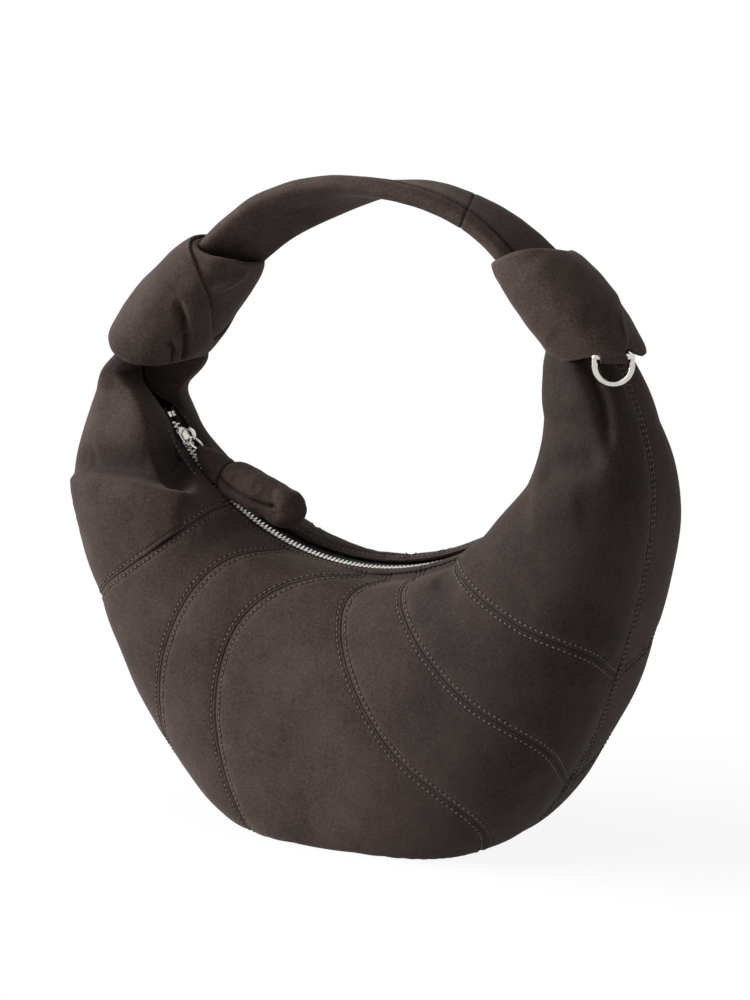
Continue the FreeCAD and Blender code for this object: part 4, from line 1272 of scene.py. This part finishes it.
def pull_sleeve():
    """Leather tab through the ring, folded over and widening to the padded part."""
    along = np.array([-2.3, -1.9, -0.8, 0.6, 2.2, 4.2, 7.0, 10.5, 14.0, 17.5, 19.6, 20.5, 20.7])
    wide = np.array([1.2, 2.6, 3.3, 3.9, 4.7, 5.7, 6.8, 7.6, 8.2, 8.6, 8.6, 8.2, 7.4])
    high = np.array([0.5, 1.2, 1.9, 2.5, 3.4, 4.5, 5.7, 6.6, 7.2, 7.5, 7.4, 7.0, 6.2])
    rings = np.array([oval_ring(a, w, h, 0.82, 56) for a, w, h in zip(along, wide, high)])
    crease_path = [(1.0, -4.2, 1.0), (8.0, -6.6, 2.6), (14.0, -7.4, 4.2)]
    push = fold(rings, crease_path, 1.8, 0.9) + 0.3 * undulation(rings, 14.0)
    out = unit(rings * np.array([0, 1, 1]))
    rings = rings + out * push[..., None]
    # Paler rim where the tab meets the roll: wear, partly painted highlight
    rubbed = 0.5 * bump(rings[..., 0], 20.0, 1.0)
    piece = tube("pull_tab", in_pull(rings), rubbed=rubbed, pressed=0 * rubbed)
    apply(piece, "SUBSURF", levels=1, render_levels=1)
    return dressed(piece, SUEDE, "pull", ["pull_sleeve"])


def pull_puff():
    """Padded roll of leather: a slit where its edge meets itself and a dimple where its end is tucked in."""
    share = np.linspace(0, 1, 76)
    along = 21.0 + 49.0 * share
    ends = np.minimum(smooth(share, -0.10, 0.12), 1 - smooth(share, 0.80, 1.06) ** 1.5)
    full = 0.45 + 0.55 * ends
    rings = np.array([oval_ring(a, 10.6 * f * (1 + 0.05 * math.sin(a / 5.0)), 10.2 * f, 0.88, 112)
                      for a, f in zip(along, full)])
    spin = np.linspace(0, 2 * math.pi, 112, endpoint=False)[None]
    out = unit(rings * np.array([0.0, 1.0, 1.0]))
    slit_path = [(20.5, -8.6, 0.4), (30.0, -10.2, -0.8), (42.0, -10.4, -1.4), (54.0, -10.2, -0.4),
                 (59.0, -9.8, 1.4)]
    hook_path = [(56.0, -9.8, 0.6), (60.5, -9.4, 1.8), (63.6, -8.4, 0.4), (64.4, -7.6, -2.0),
                 (62.6, -8.2, -3.8)]
    dimple_path = [(61.6, -9.2, -0.6), (62.0, -9.0, -1.6)]
    creases = ((slit_path, 1.2, 3.0, 0.03, 0.08), (hook_path, 1.3, 2.8, 0.1, 0.1),
               (dimple_path, 2.6, 2.2, 0.01, 0.01))
    push = sum(fold(rings, *crease) for crease in creases)
    dark = sum(fold(rings, line, 0.8, 1.0, start, end) for line, _, _, start, end in creases[:2])
    ridges = (([(24.0, -8.8, -3.4), (36.0, -9.4, -4.4), (52.0, -9.0, -4.0)], 2.8, -1.1),
              ([(24.0, -8.8, 3.0), (40.0, -9.4, 2.2), (52.0, -9.0, 3.0)], 2.6, -0.7))
    dents = (([(30, -6.0, 8.0), (33, -9.4, 3.6)], 1.7, 0.6), ([(44, -7.0, 7.6), (47, -9.8, 3.2)], 2.0, 0.7),
             ([(53, -5.0, 8.4), (58, -8.8, 4.4)], 1.8, 1.0), ([(38, -8.6, -4.8), (35, -5.4, -8.6)], 1.8, 0.7),
             ([(56, -8.2, -4.6), (53, -5.4, -8.4)], 2.0, 0.8), ([(50, 6.0, 8.0), (54, 9.4, 2.4)], 2.2, 0.7),
             ([(36, 9.6, 1.0), (40, 8.0, -6.0)], 2.2, 0.7))
    for line, width, depth in ridges + dents:
        push = push + fold(rings, line, width, depth)
    push = push + 0.4 * undulation(rings, 16.0)
    # Painted shade along the slit and the tucked-in end
    pressed = np.clip(-dark, 0, 1)
    rings = rings + out * push[..., None]
    # Painted highlight along the top of the roll
    rubbed = 0.35 * bump(spin, 0.5 * math.pi, 0.7) * np.ones_like(push)
    piece = tube("pull_roll", in_pull(rings), pressed=pressed, rubbed=rubbed)
    dressed(piece, SUEDE, "pull", ["pull_puff"])
    return piece


def pull_filling():
    """Soft filling inside the padded roll."""
    share = np.linspace(0, 1, 24)
    full = 0.55 + 0.45 * np.minimum(smooth(share, -0.05, 0.25), 1 - smooth(share, 0.7, 1.05))
    rings = np.array([oval_ring(24.5 + 37.0 * s, 6.6 * f, 6.2 * f, 0.9, 40) for s, f in zip(share, full)])
    rings = rings + unit(rings * np.array([0, 1, 1])) * (0.3 * undulation(rings, 9.0))[..., None]
    piece = tube("pull_stuffing", in_pull(rings))
    dressed(piece, FOAM, "pull", ["pull_filling"])
    return piece


pull_sleeve()
pull_puff()
pull_filling()


# Handle strap

# How far the handle lies to the right and the strap to the back of the middle
HANDLE_SHIFT, STRAP_SET_BACK = 5.5, 1.4
STRAP_CENTRE, STRAP_RADIUS = 206.0, 122.5
STRAP_REACH, STRAP_JOIN, STRAP_JOIN_SLANT = 50.0, 23.7, 0.41
STRAP_HALF_WIDTH, STRAP_FRONT_THICK, STRAP_BACK_THICK = 17.6, 6.2, 4.8
STRAP_SQUARE = 0.8
# How far the band is turned over: angle from the top, roll of its front edge away from the handle's middle
STRAP_ROLL = ((-54, 47.0), (-25, 38.0), (-12, 27.0), (0, 6.0), (10, -5.0), (26, -8.0), (54, -32.0))
# How far the band departs from an even arc: angle from the top, distance outwards
STRAP_RISE = ((-54, 0.0), (-30, -0.6), (-15, -1.6), (0, 0.0), (15, 1.6), (35, 1.6), (54, 0.4))


def strap_axes(angle):
    """Middle of the strap and its wide and thick directions at an angle from the top, in degrees."""
    turn = math.radians(angle)
    out = np.array([math.sin(turn), 0, math.cos(turn)])
    radius = STRAP_RADIUS + float(eased(angle, STRAP_RISE))
    middle = np.array([HANDLE_SHIFT, STRAP_SET_BACK, STRAP_CENTRE]) + out * radius
    roll = math.radians(float(eased(angle, STRAP_ROLL)))
    front = np.array([0, -1.0, 0])
    wide = front * math.cos(roll) + out * math.sin(roll)
    thick = out * math.cos(roll) - front * math.sin(roll)
    return middle, wide, thick


def strap_part(name, first, last, inset, details):
    """Length of the strap, a soft flat band whose front edge is a fuller roll to the right of the top."""
    angles = np.linspace(first, last, max(8, int(abs(last - first) / 0.6)))
    spin = np.linspace(0, 2 * math.pi, 128, endpoint=False)
    rings, pressed, rubbed = [], [], []
    for angle in angles:
        middle, wide, thick = strap_axes(angle)
        half_wide = (STRAP_HALF_WIDTH - inset) * (1 - 0.06 * abs(angle / STRAP_REACH) ** 3)
        across = signed_power(np.cos(spin), STRAP_SQUARE) * half_wide
        share = (across / half_wide + 1) / 2
        half_thick = STRAP_BACK_THICK + (STRAP_FRONT_THICK - STRAP_BACK_THICK) * share - inset * 0.6
        high = signed_power(np.sin(spin), STRAP_SQUARE) * half_thick
        dark, light = np.zeros_like(spin), np.zeros_like(spin)
        if details:
            right = float(smooth(angle, -14, 0))
            outer_face, inner_face = smooth(np.sin(spin), 0.0, 0.4), smooth(-np.sin(spin), 0.0, 0.4)
            crease = bump(across, 9.6, 1.0) * outer_face * right
            sag = bump(across, -1.0, 9.0) * outer_face * right
            seam = bump(across, 2.0, 0.7) * inner_face
            hollow = bump(across, -1.0, 10.0) * inner_face
            joint = bump(angle, STRAP_JOIN, 0.30)
            high = high - 2.6 * crease - 1.2 * sag + 0.35 * seam + 1.1 * hollow
            across, high = across * (1 - 0.02 * joint), high * (1 - 0.07 * joint)
            # Painted shade in the crease, the seam below it and the cross seam between the two parts
            dark = np.maximum(np.maximum(0.9 * crease, 0.3 * seam), 0.8 * joint)
            # Painted highlight along the crease's edge and the front roll, and paler worn edges
            edge_light = 0.5 * bump(across, 7.9, 0.6) * outer_face * right
            light = (edge_light + 0.3 * bump(across, 12.5, 2.0) * outer_face
                     + 0.25 * bump(np.abs(across), 16.8, 1.0))
        along = np.cross(thick, wide)
        slant = STRAP_JOIN_SLANT * across * bump(angle, STRAP_JOIN, 12)
        rings.append(middle + np.outer(across, wide) + np.outer(high, thick) + np.outer(slant, along))
        pressed.append(dark)
        rubbed.append(light)
    rings = np.array(rings)
    if details:
        middles = rings.mean(axis=1, keepdims=True)
        rings = rings + unit(rings - middles) * (0.4 * undulation(rings, 33.0))[..., None]
    return tube(name, rings, pressed=np.array(pressed), rubbed=np.array(rubbed))


# Degrees that the leather goes into the knots, the gap at its cross seam, and how far inside its filling is
STRAP_TUCKED_IN, STRAP_JOIN_GAP, STRAP_FILLING_INSET = 1.5, 0.03, 4.6

for name, first, last in (("strap_left", -STRAP_REACH - STRAP_TUCKED_IN, STRAP_JOIN - STRAP_JOIN_GAP),
                          ("strap_right", STRAP_JOIN + STRAP_JOIN_GAP, STRAP_REACH + STRAP_TUCKED_IN)):
    part = strap_part(name + "_leather", first, last, 0.0, True)
    dressed(part, STRAP_SUEDE, "handle", [name])
core = strap_part("strap_stuffing", -STRAP_REACH + 1, STRAP_REACH - 1, STRAP_FILLING_INSET, False)
dressed(core, FOAM, "handle", ["strap_core"])


# Knots

NECK_X, NECK_HEIGHT = 130.565, 244.0
KNOT_LEAN = math.radians(38)
KNOT_START, KNOT_LENGTH = 8.0, 58.0
# Half width and half depth of each knot
KNOT_HALVES = {LEFT: (21.5, 26.5), RIGHT: (18.6, 24.0)}
KNOT_SQUARE = 0.9
# How far the middle of a knot lies away from the middle of the bag: height, distance
KNOT_BEND = {LEFT: ((-0.3, 1.0), (0.0, 0.5), (0.5, -2.2), (1.0, -5.0), (1.3, -5.6)),
             RIGHT: ((-0.3, 0.0), (0.1, 0.8), (0.4, 1.4), (0.8, -1.2), (1.1, -3.2))}
# How full a knot is: height, share of its half width and depth
KNOT_FULLNESS = ((-0.4, 0.98), (0.0, 1.0), (0.25, 1.01), (0.5, 0.98), (0.75, 0.93), (1.0, 0.86), (1.3, 0.82))


def knot_axes(side):
    """Foot of a knot, the direction up it and the direction across it, away from the middle of the bag."""
    foot = np.array([side * NECK_X + HANDLE_SHIFT, 0, NECK_HEIGHT])
    up = np.array([-side * math.sin(KNOT_LEAN), 0, math.cos(KNOT_LEAN)])
    across = np.array([side * math.cos(KNOT_LEAN), 0, math.sin(KNOT_LEAN)])
    return foot, up, across


def knot_surface(side, turn, height, lift):
    """Point of a knot: turn round it (0 outside, -90 front, 90 back), height 0 to 1, lift off its surface."""
    foot, up, across = knot_axes(side)
    half_width, half_depth = KNOT_HALVES[side]
    full = np.interp(height, *np.array(KNOT_FULLNESS).T)
    bend = np.interp(height, *np.array(KNOT_BEND[side]).T)
    angle = np.radians(turn)
    wide = signed_power(np.cos(angle), KNOT_SQUARE) * (half_width * full + lift) + bend
    deep = signed_power(np.sin(angle), KNOT_SQUARE) * (half_depth * full + lift)
    along = KNOT_START + height * KNOT_LENGTH
    back = np.array([0, 1.0, 0])
    return foot + along[..., None] * up + wide[..., None] * across + deep[..., None] * back


def round_the_knot(turn, table):
    """Value that changes smoothly round a knot, from a table of turn and value."""
    turns, values = np.array(table, float).T
    result = np.zeros_like(turn)
    total = np.zeros_like(turn)
    for offset in range(-18, 19, 3):
        weight = math.exp(-(offset / 9.0) ** 2)
        result = result + weight * np.interp(turn + offset, turns, values, period=360)
        total = total + weight
    return result / total


# Edges of the layers of each knot: turn and height
KNOT_LAYERS = {
    LEFT: dict(
        under_low=((0, 0.05), (180, 0.02)),
        under_high=((0, 0.90), (-60, 0.94), (-85, 0.98), (-103, 1.04), (-134, 1.09), (180, 1.09), (134, 1.06),
                    (90, 0.98)),
        over_low=((0, -0.27), (-20, -0.29), (-40, -0.29), (-78, -0.32), (-96, -0.29), (-114, -0.23),
                  (-136, -0.14), (-153, -0.07), (175, 0.0), (150, -0.04), (120, -0.12), (100, -0.10),
                  (80, -0.04), (65, 0.02), (45, 0.02), (30, -0.06), (15, -0.2)),
        over_high=((0, 0.90), (-40, 0.92), (-77, 0.90), (-90, 0.86), (-103, 0.81), (-132, 0.69), (-167, 0.40),
                   (174, 0.19), (160, 0.24), (132, 0.52), (103, 0.74), (77, 0.86), (40, 0.91)),
    ),
    RIGHT: dict(
        under_low=((0, -0.12), (25, -0.14), (60, -0.06), (110, 0.10), (180, 0.30), (-110, 0.28), (-60, 0.16),
                   (-25, 0.04)),
        under_high=((0, 0.88), (180, 1.10)),
        over_low=((-180, 0.23), (-125, 0.17), (-101, 0.10), (-84, 0.05), (-66, -0.01), (-48, -0.06),
                  (-24, -0.08), (-12, 0.0), (4, 0.20), (28, 0.46), (60, 0.62), (88, 0.55), (118, 0.36),
                  (150, 0.28)),
        over_high=((-180, 1.20), (-129, 1.20), (-90, 1.16), (-64, 1.11), (-39, 1.05), (-20, 0.99), (10, 0.93),
                   (60, 1.0), (120, 1.12)),
    ),
}

# Creases of each knot's upper layer: path of (turn, height), width, depth; a negative depth is a ridge
OVER_DARTS = {
    LEFT: ((((-97, 0.54), (-120, 0.41), (-138, 0.27), (-162, 0.0)), 1.6, 5.0),
           (((-122, 0.16), (-138, 0.08), (-149, -0.06)), 1.5, 3.4),
           (((-112, 0.60), (-132, 0.45), (-150, 0.28)), 3.4, -1.1),
           (((-60, 0.55), (-85, 0.25), (-105, 0.0)), 9.0, -1.2),
           (((95, 0.5), (120, 0.3), (140, 0.0)), 1.8, 2.4)),
    RIGHT: ((((-60, 0.34), (-40, 0.20), (-16, 0.10)), 6.0, 1.8),
            (((-128, 1.1), (-112, 0.7), (-108, 0.35)), 7.0, -1.2),
            (((-70, 1.0), (-62, 0.7), (-58, 0.4)), 9.0, -0.8),
            (((150, 0.9), (120, 0.6), (100, 0.5)), 3.0, 1.8)),
}
# The same for the layer below it
UNDER_DARTS = {
    LEFT: ((((-122, 0.72), (-142, 0.88), (-158, 1.02)), 2.6, -3.0),
           (((-113, 0.78), (-132, 0.91), (-148, 1.02)), 2.4, 2.0)),
    RIGHT: (),
}
# How far inside or outside the knot's own surface each layer lies, and its thickness
UNDER_LIFT, UNDER_THICK = -6.0, 5.0
OVER_LIFT, OVER_THICK = -1.8, 3.2
# The left knot's lower layer is sunk in front
LEFT_UNDER_SUNK = 3.6
DART_FADE = (0.2, 0.02)
SHARP_DART = 2


def band_section(share):
    """Cross section of a layer: how far across it and how high (0 inside, 1 outside) for a share round it."""
    spin = 2 * math.pi * share
    across = 0.5 - 0.5 * signed_power(np.cos(spin), 0.70)
    height = 0.5 + 0.5 * signed_power(np.sin(spin), 0.42)
    return across, height


def knot_layer(name, side, low_table, high_table, base_lift, thick, darts=(), sunk=0.0):
    """Closed band of leather wrapped round a knot between two edges; it may be sunk in front, low down."""
    turn = np.linspace(-180, 180, 150, endpoint=False)[:, None]
    share = np.linspace(0, 1, 96, endpoint=False)[None]
    across, high = band_section(share)
    low = round_the_knot(turn, low_table)
    top = round_the_knot(turn, high_table)
    height = low + (top - low) * across
    edge = np.minimum(across, 1 - across) * (top - low) * KNOT_LENGTH
    crown = 1.4 * (1 - np.exp(-edge / 7.0))
    lift = base_lift + thick * high + crown * (high > 0.5)
    lift = lift - sunk * bump(turn, -105, 45) * (1 - smooth(height, 0.55, 1.0))
    points = knot_surface(side, turn + 0 * share, height, lift)
    push = 0.5 * undulation(points, 34.0)
    creased = np.zeros_like(push)
    for path, width, depth in darts:
        turns, heights = np.array(path, float).T
        spots = knot_surface(side, turns, heights, base_lift + thick + 1.2)
        push = push + fold(points, spots, width, depth, *DART_FADE)
        # Painted shade along the narrow darts
        if depth > 0 and width < SHARP_DART:
            creased = np.maximum(creased, -fold(points, spots, 0.7 * width, 0.9, *DART_FADE))
    push = push * (high > 0.5)
    points = knot_surface(side, turn + 0 * share, height, lift + push)
    # Painted shade under the layer's edges, and a paler lip of wear and painted highlight
    pressed = np.clip(np.maximum(0.55 * bump(edge, 0, 0.9) * (high < 0.6), creased), 0, 1)
    rubbed = 0.55 * bump(edge, 0.8, 1.0) * (high > 0.5)
    rings, pressed, rubbed = (np.concatenate([values, values[:1]]) for values in (points, pressed, rubbed))
    return tube(name, rings, caps=False, pressed=pressed, rubbed=rubbed)


for side in (LEFT, RIGHT):
    layers = KNOT_LAYERS[side]
    knot_name = "knot_" + SIDE_NAMES[side]
    under = knot_layer(knot_name + "_under", side, layers["under_low"], layers["under_high"],
                       UNDER_LIFT, UNDER_THICK, UNDER_DARTS[side], LEFT_UNDER_SUNK * (side == LEFT))
    dressed(under, SUEDE, "handle", [knot_name])
    over = knot_layer(knot_name + "_over", side, layers["over_low"], layers["over_high"],
                      OVER_LIFT, OVER_THICK, OVER_DARTS[side])
    dressed(over, SUEDE, "handle", [knot_name])


# Leather loops of the D rings

# Where a D ring's bar is: turn from the side to the front, distance from the middle of the neck, height
DEE_TURN, DEE_OUT, DEE_HEIGHT = math.radians(55), 22.0, 255.0
LOOP_RADIUS, LOOP_HALF_WIDTH, LOOP_THICKNESS = 2.6, 6.5, 1.2


def ring_tab(side):
    """Strip of leather that comes down from under the knot, round the D ring's bar and up again."""
    away = side * np.array([math.cos(DEE_TURN), -math.sin(DEE_TURN), 0])
    bar = side * np.array([math.sin(DEE_TURN), math.cos(DEE_TURN), 0])
    middle = np.array([side * NECK_X, 0, DEE_HEIGHT]) + away * DEE_OUT
    turns = np.linspace(-0.15 * math.pi, 1.15 * math.pi, 22)
    loop = [(LOOP_RADIUS * math.cos(turn), -LOOP_RADIUS * math.sin(turn)) for turn in turns]
    profile = [(-8.0, 13.0), (-5.0, 9.5), (-0.6, 5.0)] + loop + [(-5.2, 4.6), (-7.6, 8.0), (-10.0, 12.0)]
    across = np.linspace(-LOOP_HALF_WIDTH, LOOP_HALF_WIDTH, 14)
    lean = np.array([-side * math.tan(KNOT_LEAN), 0, 0])
    rows = [[middle + away * out + bar * place + lean * max(up, 0) + np.array([0, 0, up]) for place in across]
            for out, up in profile]
    # The loop carries an even painted shade
    piece = laid_grid("ring_loop_" + SIDE_NAMES[side], np.array(rows), pressed=0.2, rubbed=0.0)
    apply(piece, "SOLIDIFY", thickness=LOOP_THICKNESS * MM, offset=0.0)
    apply(piece, "BEVEL", width=0.3 * MM, segments=2, limit_method="ANGLE", angle_limit=math.radians(60))
    return dressed(piece, SUEDE, "handle", ["ring_tab_" + SIDE_NAMES[side]], SHARP_LEATHER_EDGE)


for side in (LEFT, RIGHT):
    ring_tab(side)


# Floor, light and camera

# Share of white that the camera and the metal see in the floor, and strength of the sky that lights the bag
FLOOR_WHITE, AMBIENT = 0.91, 0.15
# Middle of the picture, and where the camera is from there
AIM = Vector((0.004, 0.0, 0.171))
CAMERA_AZIMUTH, CAMERA_HEIGHT, CAMERA_DISTANCE = math.radians(29.0), math.radians(10.3), 1.5
CAMERA_LENS = 106.56


def shown_white(tree):
    """1 for the rays that see the white background: those of the camera, of metal and of glass."""
    ray = tree.nodes.new("ShaderNodeLightPath").outputs
    seen = math_node(tree, "MAXIMUM", ray["Is Camera Ray"], ray["Is Glossy Ray"])
    return math_node(tree, "MAXIMUM", seen, ray["Is Transmission Ray"])


def floor_finish():
    """Pale floor: seen directly or in metal it is white with a faint shadow, and it lights the bag dimly."""
    material = bpy.data.materials.new("pale_floor")
    material.use_nodes = True
    tree = material.node_tree
    tree.nodes.clear()
    sheet = add_node(tree, "ShaderNodeBsdfDiffuse", {"Color": (0.9, 0.9, 0.9, 1)})
    white = add_node(tree, "ShaderNodeEmission", {"Color": (1, 1, 1, 1), "Strength": 1.0})
    share = times(tree, shown_white(tree), FLOOR_WHITE)
    mixed = add_node(tree, "ShaderNodeMixShader", {0: share, 1: sheet.outputs[0], 2: white.outputs[0]})
    output = tree.nodes.new("ShaderNodeOutputMaterial")
    tree.links.new(mixed.outputs[0], output.inputs["Surface"])
    return material


deselect()
bpy.ops.mesh.primitive_plane_add(size=400)
floor = bpy.context.object
floor.name = "floor"
floor.data.materials.append(floor_finish())

world = bpy.data.worlds.new("studio")
bpy.context.scene.world = world
world.use_nodes = True
sky = world.node_tree
background = sky.nodes["Background"]
strength = plus(sky, times(sky, shown_white(sky), 1.0 - AMBIENT), AMBIENT)
background.inputs["Color"].default_value = (1, 1, 1, 1)
sky.links.new(strength, background.inputs["Strength"])


def distant_lamp(name, place, softness, strength):
    """Soft light from far away, so that the floor is evenly lit."""
    light = bpy.data.lights.new(name, "SUN")
    light.angle = math.radians(softness)
    light.energy = strength
    lamp_object = bpy.data.objects.new(name, light)
    lamp_object.rotation_euler = (-Vector(place)).to_track_quat("-Z", "Y").to_euler()
    bpy.context.scene.collection.objects.link(lamp_object)


distant_lamp("key_light", (-1.35, -0.62, 0.50), 40, 6.0)
distant_lamp("top_light", (-0.6, -0.5, 1.0), 60, 1.5)

camera_back = Vector((math.sin(CAMERA_AZIMUTH) * math.cos(CAMERA_HEIGHT),
                      -math.cos(CAMERA_AZIMUTH) * math.cos(CAMERA_HEIGHT), math.sin(CAMERA_HEIGHT)))
camera_data = bpy.data.cameras.new("camera")
camera_data.sensor_width = 36.0
camera_data.lens = CAMERA_LENS
camera = bpy.data.objects.new("camera", camera_data)
camera.location = AIM + camera_back * CAMERA_DISTANCE
camera.rotation_euler = (-camera_back).to_track_quat("-Z", "Y").to_euler()
bpy.context.scene.collection.objects.link(camera)
bpy.context.scene.camera = camera
bpy.context.scene.view_settings.view_transform = "Standard"
